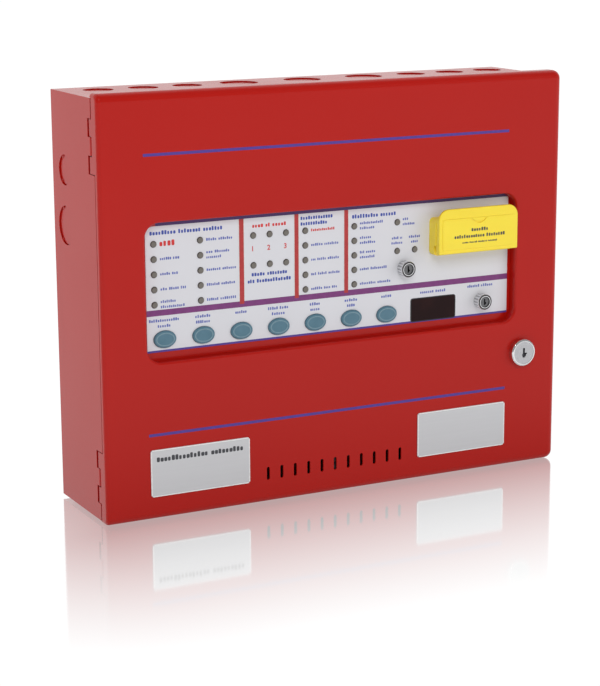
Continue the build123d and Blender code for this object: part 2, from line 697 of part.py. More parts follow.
# nuts behind the door: on the studs, the two key switches and the lock
nut_places = [(display_board_back - 2.4, x, z, 5.5, 2.4, stud_radius) for x, z in stud_places]
nut_places += [(floor_back - 2.5, x, z, 14.0, 2.5, shank_radius) for x, z in key_places.values()]
nut_places += [(panel_depth - sheet - 3.5, lock_x, lock_z, 24.0, 3.5, lock_shank_radius)]
with BuildPart() as door_nuts:
    for nut_depth, x, z, across_flats, nut_height, nut_bore in nut_places:
        extrude(hexagon(front(nut_depth, x, z), across_flats), amount=nut_height)
        extrude(disc(front(nut_depth - 1, x, z), nut_bore), amount=nut_height + 2, mode=Mode.SUBTRACT)
save(door_nuts, "door_nuts")

tang = 7.0
with BuildPart() as lock_plug:
    face_depth = panel_depth + lock_bezel_proud - 0.2
    extrude(disc(front(face_depth - 0.45, lock_x, lock_z), lock_bezel_radius - 1.9), amount=0.45)
    plug_back = lock_shank_back - 0.6
    extrude(disc(front(plug_back, lock_x, lock_z), lock_plug_radius), amount=face_depth - plug_back)
    extrude(block(front(cam_back, lock_x, lock_z), tang, tang), amount=lock_shank_back - cam_back)
    with BuildSketch(front(face_depth - 6.0, lock_x, lock_z)) as keyway:
        Rectangle(1.8, 7.6)
        with Locations((0.2, -1.7)):
            Circle(1.8)
        with Locations((1.8, -0.7)):
            Rectangle(2.0, 1.2)
    extrude(keyway.sketch, amount=8.0, mode=Mode.SUBTRACT)
    extrude(disc(front(cam_back - 1, lock_x, lock_z), 1.9), amount=9.0, mode=Mode.SUBTRACT)
save(lock_plug, "lock_plug")

with BuildPart() as lock_cam:
    with BuildSketch(front(cam_back, lock_x, lock_z)) as cam_outline:
        Circle(8.0)
        with Locations((0, cam_reach / 2)):
            Rectangle(2 * cam_half_width, cam_reach)
        fillet(cam_outline.vertices().group_by(Axis.Y)[-1], 4.0)
        Rectangle(tang + 0.1, tang + 0.1, mode=Mode.SUBTRACT)
    extrude(cam_outline.sketch, amount=cam_front - cam_back)
save(lock_cam, "lock_cam")

with BuildPart() as cam_screw:
    extrude(disc(front(cam_back - 1.8, lock_x, lock_z), 5.5), amount=1.8)
    fillet(cam_screw.faces().sort_by(Axis.Y)[-1].edges(), 0.8)
    extrude(disc(front(cam_back, lock_x, lock_z), 1.85), amount=6.5)
    with BuildSketch(front(cam_back - 1.8, lock_x, lock_z)) as cross:
        Rectangle(1.0, 5.0)
        Rectangle(5.0, 1.0)
    extrude(cross.sketch, amount=1.0, mode=Mode.SUBTRACT)
save(cam_screw, "cam_screw")

# ---------------------------------------------------------------- name plates and buzzer
for name, (x, z) in plate_centres.items():
    with BuildPart() as name_plate:
        outline = block(front(panel_depth, x, z), plate_width, plate_height, plate_corner)
        extrude(outline, amount=plate_thickness)
        chamfer(name_plate.faces().sort_by(Axis.Y)[0].edges(), 0.35)
    save(name_plate, f"name_plate_{name}")

buzzer_radius, buzzer_length = 8.5, 9.0
with BuildPart() as buzzer:
    buzzer_front = panel_depth - sheet
    case = disc(front(buzzer_front - buzzer_length, buzzer_x, vent_z), buzzer_radius)
    extrude(case, amount=buzzer_length - 0.8)
    rim = ring(front(buzzer_front - 0.8, buzzer_x, vent_z), buzzer_radius, buzzer_radius - 1.5)
    extrude(rim, amount=0.8)
    extrude(disc(front(buzzer_front - 2.0, buzzer_x, vent_z), 1.5), amount=1.5, mode=Mode.SUBTRACT)
save(buzzer, "buzzer")

# ---------------------------------------------------------------- chassis and main board
with BuildPart() as chassis_plate:
    area = span(chassis_back, chassis_left, chassis_right, chassis_bottom, chassis_top, 3.0)
    extrude(area, amount=sheet)
    for x, z in chassis_fixings:
        extrude(disc(front(chassis_back - 1, x, z), 2.2), amount=3 * sheet, mode=Mode.SUBTRACT)
    # folded top edge stiffens the plate
    fold = span(chassis_front, chassis_left + 6, chassis_right - 6, chassis_top - sheet, chassis_top)
    extrude(fold, amount=6.0)
save(chassis_plate, "chassis_plate")


def pan_head_screws(places, seat_depth, radius, length, head_radius, head_height):
    """Cross-recessed screws whose heads sit at seat_depth and whose shanks point at the wall."""
    with BuildPart() as screws:
        for x, z in places:
            extrude(disc(front(seat_depth - length, x, z), radius), amount=length)
            extrude(disc(front(seat_depth, x, z), head_radius), amount=head_height)
        heads = screws.faces().filter_by(Axis.Y).group_by(Axis.Y)[0].edges()
        fillet(heads, head_height * 0.45)
        for x, z in places:
            with BuildSketch(front(seat_depth + head_height * 0.4, x, z)) as cross:
                Rectangle(head_radius * 0.25, head_radius * 1.1)
                Rectangle(head_radius * 1.1, head_radius * 0.25)
            extrude(cross.sketch, amount=head_height, mode=Mode.SUBTRACT)
    return screws


with BuildPart() as main_board:
    area = span(board_back, board_left, board_right, board_bottom, board_top, 2.0)
    extrude(area, amount=board_front - board_back)
    for x, z in board_fixings:
        extrude(disc(front(board_back - 1, x, z), 1.7), amount=4, mode=Mode.SUBTRACT)
save(main_board, "main_board")

with BuildPart() as standoffs:
    for x, z in chassis_fixings:
        extrude(ring(front(sheet, x, z), 4.0, 2.0), amount=chassis_back - sheet)
    for x, z in board_fixings:
        extrude(hexagon(front(chassis_front, x, z), 6.0), amount=board_back - chassis_front)
        extrude(disc(front(board_back - 7.0, x, z), 1.5), amount=8.0, mode=Mode.SUBTRACT)
save(standoffs, "standoffs")

block_width = terminal_ways * terminal_pitch
terminal_z = board_top - 9.0
first_block_x = board_left + 6.0 + block_width / 2
with BuildPart() as terminal_blocks:
    for number in range(terminal_count):
        x = first_block_x + number * (block_width + 0.6)
        extrude(block(front(board_front, x, terminal_z), block_width, terminal_height), amount=terminal_depth)
        with BuildSketch(front(board_front + 3.0, x, terminal_z)) as screw_wells:
            with GridLocations(terminal_pitch, 1, terminal_ways, 1):
                Circle(1.7)
        extrude(screw_wells.sketch, amount=terminal_depth, mode=Mode.SUBTRACT)
        wire_side = Plane(
            origin=(x, -board_front - 5.0, terminal_z + terminal_height / 2), x_dir=(1, 0, 0), z_dir=(0, 0, 1)
        )
        with BuildSketch(wire_side) as wire_entries:
            with GridLocations(terminal_pitch, 1, terminal_ways, 1):
                Rectangle(3.4, 5.0)
        extrude(wire_entries.sketch, amount=-3.0, mode=Mode.SUBTRACT)
save(terminal_blocks, "terminal_blocks")

with BuildPart() as terminal_screws:
    for number in range(terminal_count):
        x = first_block_x + number * (block_width + 0.6)
        with BuildSketch(front(board_front + 3.0, x, terminal_z)) as shanks:
            with GridLocations(terminal_pitch, 1, terminal_ways, 1):
                Circle(1.6)
        extrude(shanks.sketch, amount=8.5)
        with BuildSketch(front(board_front + 10.7, x, terminal_z)) as slots:
            with GridLocations(terminal_pitch, 1, terminal_ways, 1):
                Rectangle(0.6, 3.4)
        extrude(slots.sketch, amount=2.0, mode=Mode.SUBTRACT)
save(terminal_screws, "terminal_screws")

relay_count = 5
with BuildPart() as relays:
    for number in range(relay_count):
        x = board_left + 24.0 + number * 24.0
        extrude(block(front(board_front, x, 84.0), 19.0, 15.5, 0.8), amount=15.5)
    fillet(relays.faces().filter_by(Axis.Y).group_by(Axis.Y)[0].edges(), 0.6)
save(relays, "relays")

chip_places = (
    (-95.0, 30.0, 20.0, 20.0), (-55.0, 42.0, 13.0, 10.0), (-55.0, 18.0, 13.0, 10.0), (-20.0, 30.0, 9.0, 18.0),
)
with BuildPart() as main_chips:
    for x, z, chip_width, chip_height in chip_places:
        extrude(block(front(board_front, x, z), chip_width, chip_height, 0.5), amount=1.8)
save(main_chips, "main_chips")

capacitor_places = ((0.0, 78.0), (14.0, 78.0), (28.0, 78.0), (28.0, 60.0))
with BuildPart() as capacitors:
    for x, z in capacitor_places:
        extrude(disc(front(board_front, x, z), 5.0), amount=16.0)
    fillet(capacitors.faces().filter_by(Axis.Y).group_by(Axis.Y)[0].edges(), 0.8)
save(capacitors, "capacitors")

save(ribbon_header(board_front, -110.0, -12.0, 8.0), "main_ribbon_header")

# ---------------------------------------------------------------- power parts
transformer_x, transformer_z = 90.0, 76.0
core_width, core_height, core_depth = 60.0, 50.0, 30.0
coil_width, coil_height, coil_depth = 36.0, 31.0, 48.0
coil_back = chassis_front + 1.0
core_back = coil_back + (coil_depth - core_depth) / 2
with BuildPart() as transformer_core:
    core_outline = block(front(core_back, transformer_x, transformer_z), core_width, core_height, 1.0)
    extrude(core_outline, amount=core_depth)
    for side in (-1, 1):
        window_plane = front(core_back - 1, transformer_x + side * 15.0, transformer_z)
        extrude(block(window_plane, 10.0, 32.0), amount=core_depth + 2, mode=Mode.SUBTRACT)
    # feet that reach down to the chassis plate
    for side in (-1, 1):
        foot_x = transformer_x + side * (core_width / 2 - 3.0)
        foot = block(front(chassis_front, foot_x, transformer_z), 6.0, core_height)
        extrude(foot, amount=core_back - chassis_front)
save(transformer_core, "transformer_core")

with BuildPart() as transformer_coil:
    coil = block(front(coil_back, transformer_x, transformer_z), coil_width, coil_height, 3.0)
    extrude(coil, amount=coil_depth)
    fillet(transformer_coil.faces().filter_by(Axis.Y).edges(), 2.0)
    limb = block(front(core_back, transformer_x, transformer_z), 20.0, coil_height + 2.0)
    extrude(limb, amount=core_depth, mode=Mode.SUBTRACT)
save(transformer_coil, "transformer_coil")

mains_x, mains_z = 160.0, 0.0
with BuildPart() as mains_terminal:
    extrude(block(front(sheet, mains_x, mains_z), 36.0, 20.0, 1.0), amount=16.0)
    extrude(block(front(sheet, mains_x, mains_z), 50.0, 12.0, 1.0), amount=3.0)
    with BuildSketch(front(6.0, mains_x, mains_z)) as clamp_wells:
        with GridLocations(11.0, 11.0, 3, 1):
            Circle(2.6)
    extrude(clamp_wells.sketch, amount=20.0, mode=Mode.SUBTRACT)
save(mains_terminal, "mains_terminal")

fuse_z = 28.0
with BuildPart() as fuse_holder:
    extrude(block(front(sheet, mains_x, fuse_z), 36.0, 12.0, 1.0), amount=5.0)
    for side in (-1, 1):
        clip = block(front(sheet + 5.0, mains_x + side * 11.0, fuse_z), 7.0, 8.0)
        extrude(clip, amount=6.0)
    fuse_line = Plane(origin=(mains_x - 20.0, -sheet - 8.6, fuse_z), x_dir=(0, 1, 0), z_dir=(1, 0, 0))
    extrude(disc(fuse_line, 2.6), amount=40.0, mode=Mode.SUBTRACT)
save(fuse_holder, "fuse_holder")

with BuildPart() as mains_fuse:
    fuse_start = Plane(origin=(mains_x - 15.0, -sheet - 8.6, fuse_z), x_dir=(0, 1, 0), z_dir=(1, 0, 0))
    extrude(disc(fuse_start, 2.4), amount=30.0)
    for start in (0.0, 24.0):
        extrude(disc(fuse_start.offset(start), 2.6), amount=6.0)
save(mains_fuse, "mains_fuse")

earth_x, earth_z = 165.0, -30.0
with BuildPart() as earth_stud:
    extrude(disc(front(sheet, earth_x, earth_z), 2.5), amount=14.0)
    chamfer(earth_stud.faces().sort_by(Axis.Y)[0].edges(), 0.5)
save(earth_stud, "earth_stud")

with BuildPart() as earth_nuts:
    for seat in (sheet, sheet + 6.0):
        extrude(hexagon(front(seat, earth_x, earth_z), 8.0), amount=4.0)
    extrude(disc(front(sheet, earth_x, earth_z), 2.5), amount=14.0, mode=Mode.SUBTRACT)
save(earth_nuts, "earth_nuts")

# ---------------------------------------------------------------- batteries and their strap
battery_floor = box_bottom + sheet
for name, left in battery_lefts.items():
    with BuildPart() as battery:
        low, right = battery_floor, left + battery_width
        extrude(span(battery_back, left, right, low, low + battery_height), amount=battery_depth)
        fillet(battery.edges().filter_by(Axis.Z), 2.5)
        # lid seam round the case
        seam = span(battery_back - 1, left - 1, right + 1, low + 82.0, low + 83.0)
        extrude(seam, amount=battery_depth + 2, mode=Mode.SUBTRACT)
        core = span(battery_back + 0.6, left + 0.6, right - 0.6, low + 81.0, low + 84.0)
        extrude(core, amount=battery_depth - 1.2)
    save(battery, f"battery_{name}")

tab_width, tab_thickness, tab_height = 6.3, 0.8, 7.0
with BuildPart() as battery_tabs:
    for left in battery_lefts.values():
        for offset_x in (12.0, battery_width - 12.0):
            base = Plane(origin=(left + offset_x, -battery_back - 12.0, battery_floor + battery_height))
            extrude(block(base, tab_width, tab_thickness), amount=tab_height)
save(battery_tabs, "battery_tabs")

strap_left = battery_lefts["left"] - 1.6
strap_right = battery_lefts["right"] + battery_width + 1.6
strap_front = battery_back + battery_depth + 0.2
with BuildPart() as battery_strap:
    band = (strap_bottom, strap_top)
    extrude(span(strap_front, strap_left, strap_right, *band), amount=sheet)
    for side, edge in ((-1, strap_left), (1, strap_right)):
        inner_edge = edge - side * sheet
        leg = span(sheet, min(edge, inner_edge), max(edge, inner_edge), *band)
        extrude(leg, amount=strap_front - sheet)
        foot_end = edge + side * strap_foot
        foot = span(sheet, min(edge, foot_end), max(edge, foot_end), *band)
        extrude(foot, amount=sheet)
        hole_x = edge + side * strap_foot / 2
        extrude(disc(front(0.5, hole_x, sum(band) / 2), 2.2), amount=3 * sheet, mode=Mode.SUBTRACT)
save(battery_strap, "battery_strap")

strap_screw_places = [
    (strap_left - strap_foot / 2, (strap_bottom + strap_top) / 2),
    (strap_right + strap_foot / 2, (strap_bottom + strap_top) / 2),
]
screw_groups = (
    pan_head_screws(chassis_fixings, chassis_front, 1.95, 5.5, 4.0, 2.4),
    pan_head_screws(board_fixings, board_front, 1.45, 7.0, 2.9, 1.9),
    pan_head_screws(strap_screw_places, 2 * sheet, 2.0, sheet, 3.8, 2.2),
)
with BuildPart() as box_screws:
    for group in screw_groups:
        add(group.part)
save(box_screws, "box_screws")
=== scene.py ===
import json
import math
import random

import bmesh
import bpy
from mathutils import Matrix, Vector


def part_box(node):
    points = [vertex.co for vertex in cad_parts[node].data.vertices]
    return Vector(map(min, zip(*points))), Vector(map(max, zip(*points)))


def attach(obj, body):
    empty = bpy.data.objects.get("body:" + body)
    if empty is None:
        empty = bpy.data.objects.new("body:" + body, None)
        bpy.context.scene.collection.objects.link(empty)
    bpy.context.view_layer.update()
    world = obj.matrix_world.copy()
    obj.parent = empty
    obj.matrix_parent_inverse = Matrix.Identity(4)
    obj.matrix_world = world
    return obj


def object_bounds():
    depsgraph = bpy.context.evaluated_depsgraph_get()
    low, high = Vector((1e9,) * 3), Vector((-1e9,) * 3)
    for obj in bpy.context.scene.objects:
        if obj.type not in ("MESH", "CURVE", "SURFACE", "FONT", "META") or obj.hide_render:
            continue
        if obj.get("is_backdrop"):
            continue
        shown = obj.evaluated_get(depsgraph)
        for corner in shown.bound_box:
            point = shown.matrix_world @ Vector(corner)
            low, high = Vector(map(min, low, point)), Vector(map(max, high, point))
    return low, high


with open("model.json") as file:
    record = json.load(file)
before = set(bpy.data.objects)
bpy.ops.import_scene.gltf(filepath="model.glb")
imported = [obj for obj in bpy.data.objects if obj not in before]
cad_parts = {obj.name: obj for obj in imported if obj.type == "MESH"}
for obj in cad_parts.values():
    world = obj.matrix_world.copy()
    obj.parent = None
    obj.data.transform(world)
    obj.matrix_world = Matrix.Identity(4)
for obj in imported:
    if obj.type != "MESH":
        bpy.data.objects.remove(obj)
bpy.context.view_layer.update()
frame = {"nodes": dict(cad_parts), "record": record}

nodes = frame["nodes"]
MM = 0.001
MICRON = 0.000001
Y, Z = 1, 2
LOW, HIGH = 0, 1
KEY_SWITCHES = ("mode", "enable")
BUTTONS = 7


def side(node, axis, end):
    """Where one face of a CAD node's box lies, in metres: the low or the high end along an axis."""
    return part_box(node)[end][axis]


def front_middle(low, high):
    """Middle of a box as seen from the front, as (x, z)."""
    return (low.x + high.x) / 2, (low.z + high.z) / 2


# ---------------------------------------------------------------- materials
class Paint:
    """A principled material with helpers for its procedural inputs."""

    def __init__(
        self, name, colour, roughness=0.5, metallic=0.0, ior=1.5, coat=0.0, coat_roughness=0.05
    ):
        self.material = bpy.data.materials.new(name)
        self.material.use_nodes = True
        self.tree = self.material.node_tree
        self.shader = next(n for n in self.tree.nodes if n.type == "BSDF_PRINCIPLED")
        self.set("Base Color", (*colour, 1.0))
        self.set("Roughness", roughness)
        self.set("Metallic", metallic)
        self.set("IOR", ior)
        self.set("Coat Weight", coat)
        self.set("Coat Roughness", coat_roughness)
        self.material.diffuse_color = (*colour, 1.0)
        self.coordinates = self.node("ShaderNodeTexCoord").outputs["Object"]
        self.bump_normal = None

    def set(self, socket, value):
        self.shader.inputs[socket].default_value = value

    def node(self, kind, inputs=None, **settings):
        """Adds a node. An input is either a value or another node's output."""
        made = self.tree.nodes.new(kind)
        for key, value in settings.items():
            setattr(made, key, value)
        for key, value in (inputs or {}).items():
            if isinstance(value, bpy.types.NodeSocket):
                self.tree.links.new(value, made.inputs[key])
            else:
                made.inputs[key].default_value = value
        return made

    def link(self, output, socket):
        self.tree.links.new(output, self.shader.inputs[socket])

    def noise(self, scale, detail, stretch=(1, 1, 1)):
        place = self.node("ShaderNodeMapping", {"Vector": self.coordinates, "Scale": stretch})
        return self.node(
            "ShaderNodeTexNoise", {"Vector": place.outputs[0], "Scale": scale, "Detail": detail}
        ).outputs["Fac"]

    def wave(self, direction, scale, distortion, **settings):
        """Straight bands across one axis."""
        return self.node(
            "ShaderNodeTexWave",
            {"Vector": self.coordinates, "Scale": scale, "Distortion": distortion},
            wave_type="BANDS", bands_direction=direction, **settings,
        ).outputs["Fac"]

    def cells(self, output, scale, **inputs):
        """A cell pattern: the distance to each cell's centre, or a colour for each cell."""
        return self.node(
            "ShaderNodeTexVoronoi", {"Vector": self.coordinates, "Scale": scale, **inputs}, feature="F1"
        ).outputs[output]

    def ramp(self, value, low, high, out_low=0.0, out_high=1.0):
        """Maps low..high to out_low..out_high, and clamps."""
        return self.node(
            "ShaderNodeMapRange",
            {"Value": value, "From Min": low, "From Max": high, "To Min": out_low, "To Max": out_high},
        ).outputs[0]

    def math(self, operation, *values):
        return self.node(
            "ShaderNodeMath", {i: v for i, v in enumerate(values)}, operation=operation
        ).outputs[0]

    def mix(self, factor, first, second):
        mixed = self.node("ShaderNodeMix", data_type="RGBA")
        sockets = (mixed.inputs[0], mixed.inputs[6], mixed.inputs[7])
        for socket, value in zip(sockets, (factor, first, second)):
            if isinstance(value, bpy.types.NodeSocket):
                self.tree.links.new(value, socket)
            else:
                socket.default_value = value
        return mixed.outputs[2]

    def vary_colour(self, factor, other):
        """Moves the base colour towards another one, by a 0..1 factor."""
        previous = self.shader.inputs["Base Color"]
        first = previous.links[0].from_socket if previous.links else tuple(previous.default_value)
        self.link(self.mix(factor, first, (*other, 1.0)), "Base Color")

    def vary_roughness(self, factor, low, high):
        self.link(self.ramp(factor, 0.0, 1.0, low, high), "Roughness")

    def bump(self, height, microns, strength):
        """Adds a bump to those already there, its depth in microns."""
        inputs = {"Height": height, "Distance": microns * MICRON, "Strength": strength}
        if self.bump_normal is not None:
            inputs["Normal"] = self.bump_normal
        self.bump_normal = self.node("ShaderNodeBump", inputs).outputs[0]
        self.link(self.bump_normal, "Normal")

    def position(self):
        """The three object coordinates, in metres."""
        return self.node("ShaderNodeSeparateXYZ", {0: self.coordinates}).outputs

    def facing(self):
        """How squarely the surface faces along Y: 1 for a face parallel to the wall."""
        normal = self.node("ShaderNodeTexCoord").outputs["Normal"]
        return self.math("ABSOLUTE", self.node("ShaderNodeSeparateXYZ", {0: normal}).outputs["Y"])


def shade(factor, colour):
    """The same colour, darker or lighter."""
    return tuple(factor * c for c in colour)


# one function per surface: noise scales are in cycles per metre, colours are linear
def powder_coat():
    """Glossy red powder coat: a shallow orange peel over folded sheet steel, with faint handling haze."""
    red = (0.455, 0.0075, 0.0035)
    paint = Paint("red_powder_coat", red, roughness=0.24, ior=1.32)
    patches = paint.ramp(paint.noise(5.0, 3.0), 0.3, 0.7)
    paint.vary_colour(paint.math("MULTIPLY", patches, 0.5), shade(0.90, red))
    haze = paint.ramp(paint.noise(12.0, 4.0), 0.35, 0.75)
    paint.vary_roughness(haze, 0.21, 0.27)
    paint.bump(paint.noise(520.0, 2.0), 40, 0.35)
    paint.bump(paint.noise(1900.0, 1.0), 10, 0.4)
    return paint.material


def polished_chrome():
    """Plated brass: mirror chrome with fine polishing lines and a few dull specks."""
    paint = Paint("chrome", (0.76, 0.76, 0.77), roughness=0.12, metallic=1.0)
    lines = paint.noise(900.0, 3.0, (1.0, 0.15, 1.0))
    paint.vary_roughness(paint.ramp(lines, 0.3, 0.8), 0.08, 0.20)
    specks = paint.ramp(paint.noise(1500.0, 2.0), 0.66, 0.74)
    paint.vary_colour(specks, (0.52, 0.52, 0.53))
    paint.bump(lines, 4, 0.6)
    return paint.material


def satin_chrome(name, grey):
    """Face of a lock plug: turned flat, finer and duller than the ring round it."""
    colour = (grey, grey, 1.04 * grey)
    paint = Paint(name, colour, roughness=0.30, metallic=1.0)
    turned = paint.noise(700.0, 4.0)
    paint.vary_roughness(paint.ramp(turned, 0.3, 0.8), 0.24, 0.40)
    paint.vary_colour(paint.ramp(paint.noise(1800.0, 2.0), 0.62, 0.72), shade(0.8, colour))
    paint.bump(turned, 6, 0.6)
    return paint.material


def key_bezel(name, centre):
    """Chrome of a fluted key-switch bezel: bright ridges, with painted shade making it grey in the flutes and
    dark on its front face.
    """
    flute_edge, flute_floor = 6.02 * MM, 5.80 * MM
    paint = Paint(name, (0.80, 0.80, 0.81), roughness=0.14, metallic=1.0)
    x, _, z = paint.position()
    squares = []
    for value, middle in ((x, centre[0]), (z, centre[1])):
        squares.append(paint.math("POWER", paint.math("SUBTRACT", value, middle), 2.0))
    radius = paint.math("SQRT", paint.math("ADD", *squares))
    # painted shade: grey in the flutes and dark on the front face
    flute = paint.ramp(radius, flute_edge, flute_floor, 0.0, 0.5)
    dark = paint.math("MAXIMUM", flute, paint.ramp(paint.facing(), 0.80, 0.97))
    paint.vary_colour(dark, (0.16, 0.16, 0.17))
    lines = paint.noise(900.0, 3.0)
    paint.vary_roughness(paint.ramp(lines, 0.3, 0.8), 0.10, 0.22)
    paint.bump(lines, 4, 0.6)
    return paint.material


def zinc_plate():
    """Zinc-plated steel: spangled, cool grey, with a rolled grain."""
    paint = Paint("zinc_steel", (0.56, 0.57, 0.58), roughness=0.34, metallic=1.0)
    grey = paint.node("ShaderNodeRGBToBW", {0: paint.cells("Color", 160.0)}).outputs[0]
    paint.vary_colour(paint.ramp(grey, 0.2, 0.9, 0.0, 0.6), (0.44, 0.46, 0.48))
    grain = paint.noise(420.0, 3.0, (0.06, 1.0, 1.0))
    paint.vary_roughness(grain, 0.26, 0.46)
    paint.bump(grain, 8, 0.5)
    return paint.material


def printed_film():
    """Light grey polyester film with a fine velvet grain."""
    grey = (0.70, 0.70, 0.74)
    paint = Paint("overlay", grey, roughness=0.5, ior=1.45)
    paint.vary_colour(paint.ramp(paint.noise(14.0, 3.0), 0.3, 0.75, 0.0, 0.7), shade(0.95, grey))
    paint.vary_roughness(paint.noise(90.0, 2.0), 0.42, 0.56)
    paint.bump(paint.noise(2600.0, 2.0), 12, 0.5)
    return paint.material


def ink(name, colour):
    """Screen ink on the film or the paint, also used for painted highlight and painted shade: a shade uneven,
    slightly duller than what it lies on.
    """
    paint = Paint(name, colour, roughness=0.45)
    paint.vary_colour(paint.ramp(paint.noise(420.0, 3.0), 0.35, 0.75, 0.0, 0.8), shade(1.25, colour))
    paint.vary_roughness(paint.noise(800.0, 1.0), 0.38, 0.52)
    return paint.material


def lamp_lens():
    """Diffused grey-brown lens, unlit, with painted shade darkening it towards its shoulder."""
    paint = Paint("lamp_lens", (0.165, 0.15, 0.13), roughness=0.28, ior=1.5)
    cloudy = paint.ramp(paint.noise(700.0, 2.0), 0.3, 0.8)
    paint.vary_colour(paint.math("MULTIPLY", cloudy, 0.6), (0.12, 0.105, 0.09))
    # painted shade: darker where the lens turns away from the front, towards its shoulder
    paint.vary_colour(paint.ramp(paint.facing(), 0.97, 0.6), (0.045, 0.038, 0.032))
    paint.bump(paint.noise(1600.0, 1.0), 10, 0.4)
    return paint.material


def button_film():
    """Teal button cap under a satin film."""
    teal = (0.070, 0.168, 0.228)
    paint = Paint("button_cap", teal, roughness=0.38)
    paint.vary_colour(paint.ramp(paint.noise(120.0, 3.0), 0.3, 0.8), (0.088, 0.195, 0.262))
    paint.vary_roughness(paint.noise(300.0, 2.0), 0.32, 0.46)
    paint.bump(paint.noise(1500.0, 2.0), 10, 0.5)
    return paint.material


def button_bead():
    """Paler teal of the raised rim on a button cap: a painted highlight along the rim."""
    paint = Paint("button_bead", (0.20, 0.315, 0.375), roughness=0.25)
    paint.vary_colour(paint.ramp(paint.noise(500.0, 2.0), 0.3, 0.8), (0.15, 0.265, 0.325))
    paint.bump(paint.noise(1500.0, 1.0), 8, 0.4)
    return paint.material


def dark_window():
    """Deep red filter over the digits, almost black when they are off."""
    paint = Paint("window_tint", (0.014, 0.0035, 0.004), roughness=0.12, ior=1.22)
    paint.vary_colour(paint.ramp(paint.noise(60.0, 2.0), 0.4, 0.8), (0.024, 0.006, 0.006))
    paint.vary_roughness(paint.noise(200.0, 3.0), 0.10, 0.24)
    paint.bump(paint.noise(900.0, 1.0), 4, 0.4)
    return paint.material


def yellow_abs():
    """Moulded yellow plastic with flow marks and a light spark-eroded grain."""
    yellow = (0.96, 0.76, 0.045)
    paint = Paint("yellow_plastic", yellow, roughness=0.34, ior=1.5)
    paint.set("Subsurface Weight", 0.12)
    paint.set("Subsurface Radius", (0.004, 0.0025, 0.0005))
    flow = paint.ramp(paint.noise(22.0, 4.0, (0.5, 1.0, 1.6)), 0.3, 0.75)
    paint.vary_colour(flow, (0.93, 0.71, 0.04))
    paint.vary_roughness(flow, 0.30, 0.42)
    paint.bump(paint.noise(1700.0, 2.0), 12, 0.5)
    return paint.material


def moulded(name, colour, roughness=0.5):
    """Moulded plastic with a fine grain and a trace of unevenness."""
    paint = Paint(name, colour, roughness=roughness)
    paint.vary_colour(paint.ramp(paint.noise(30.0, 3.0), 0.3, 0.8), shade(1.18, colour))
    paint.vary_roughness(paint.noise(140.0, 2.0), roughness - 0.07, roughness + 0.09)
    paint.bump(paint.noise(1400.0, 2.0), 15, 0.5)
    return paint.material


def label_metal():
    """Satin silver label stock, brushed along its length."""
    paint = Paint("silver_label", (0.63, 0.63, 0.65), roughness=0.42, metallic=0.35)
    brushed = paint.noise(700.0, 4.0, (0.02, 1.0, 1.0))
    paint.vary_colour(paint.ramp(brushed, 0.3, 0.75), (0.65, 0.65, 0.67))
    paint.vary_roughness(brushed, 0.36, 0.50)
    paint.bump(brushed, 4, 0.5)
    return paint.material


def circuit_board():
    """Green solder mask over copper tracks, with tinned pads."""
    green = (0.012, 0.115, 0.045)
    paint = Paint("circuit_board", green, roughness=0.3, coat=0.4, coat_roughness=0.15)
    tracks = []
    for direction, patch in (("X", 41.0), ("Z", 33.0)):
        wave = paint.wave(direction, 95.0, 0.0)
        region = paint.ramp(paint.noise(patch, 0.0), 0.52, 0.54)
        tracks.append(paint.math("MULTIPLY", paint.ramp(wave, 0.62, 0.70), region))
    track = paint.math("MAXIMUM", *tracks)
    paint.vary_colour(track, (0.022, 0.185, 0.065))
    dots = paint.cells("Distance", 230.0, Randomness=0.25)
    some = paint.ramp(paint.noise(26.0, 1.0), 0.55, 0.57)
    pads = paint.math("MULTIPLY", paint.ramp(dots, 0.20, 0.16), some)
    paint.vary_colour(pads, (0.55, 0.54, 0.50))
    paint.bump(paint.math("MAXIMUM", track, pads), 30, 0.6)
    return paint.material


def battery_abs():
    """Battery case in charcoal ABS, textured between its ribs."""
    grey = (0.035, 0.036, 0.040)
    paint = Paint("battery_case", grey, roughness=0.55)
    paint.vary_colour(paint.ramp(paint.noise(12.0, 3.0), 0.3, 0.8), shade(1.5, grey))
    paint.vary_roughness(paint.noise(60.0, 3.0), 0.48, 0.66)
    paint.bump(paint.cells("Distance", 900.0), 40, 0.6)
    return paint.material


def laminated_core():
    """Varnished transformer laminations, seen as fine lines across the stack."""
    paint = Paint("core_iron", (0.10, 0.10, 0.105), roughness=0.42, metallic=0.6)
    sheets = paint.wave("Y", 320.0, 0.4)
    paint.vary_colour(paint.ramp(sheets, 0.2, 0.8), (0.17, 0.165, 0.16))
    paint.bump(sheets, 80, 0.6)
    return paint.material


def wound_tape():
    """Yellow polyester tape over the winding, with its overlapping turns."""
    paint = Paint("coil_tape", (0.62, 0.40, 0.05), roughness=0.28, coat=0.3, coat_roughness=0.2)
    turns = paint.wave("Z", 26.0, 1.2, wave_profile="SAW")
    paint.vary_colour(paint.ramp(turns, 0.0, 1.0), (0.50, 0.29, 0.035))
    paint.bump(turns, 100, 0.5)
    return paint.material


def plain_metal(name, colour, roughness):
    """Metal or glass of a small fitting, with faint drawing lines."""
    paint = Paint(name, colour, roughness=roughness, metallic=1.0)
    lines = paint.noise(800.0, 3.0, (1.0, 0.1, 1.0))
    paint.vary_colour(paint.ramp(lines, 0.35, 0.8), shade(0.8, colour))
    paint.vary_roughness(lines, roughness - 0.06, roughness + 0.1)
    paint.bump(lines, 6, 0.5)
    return paint.material


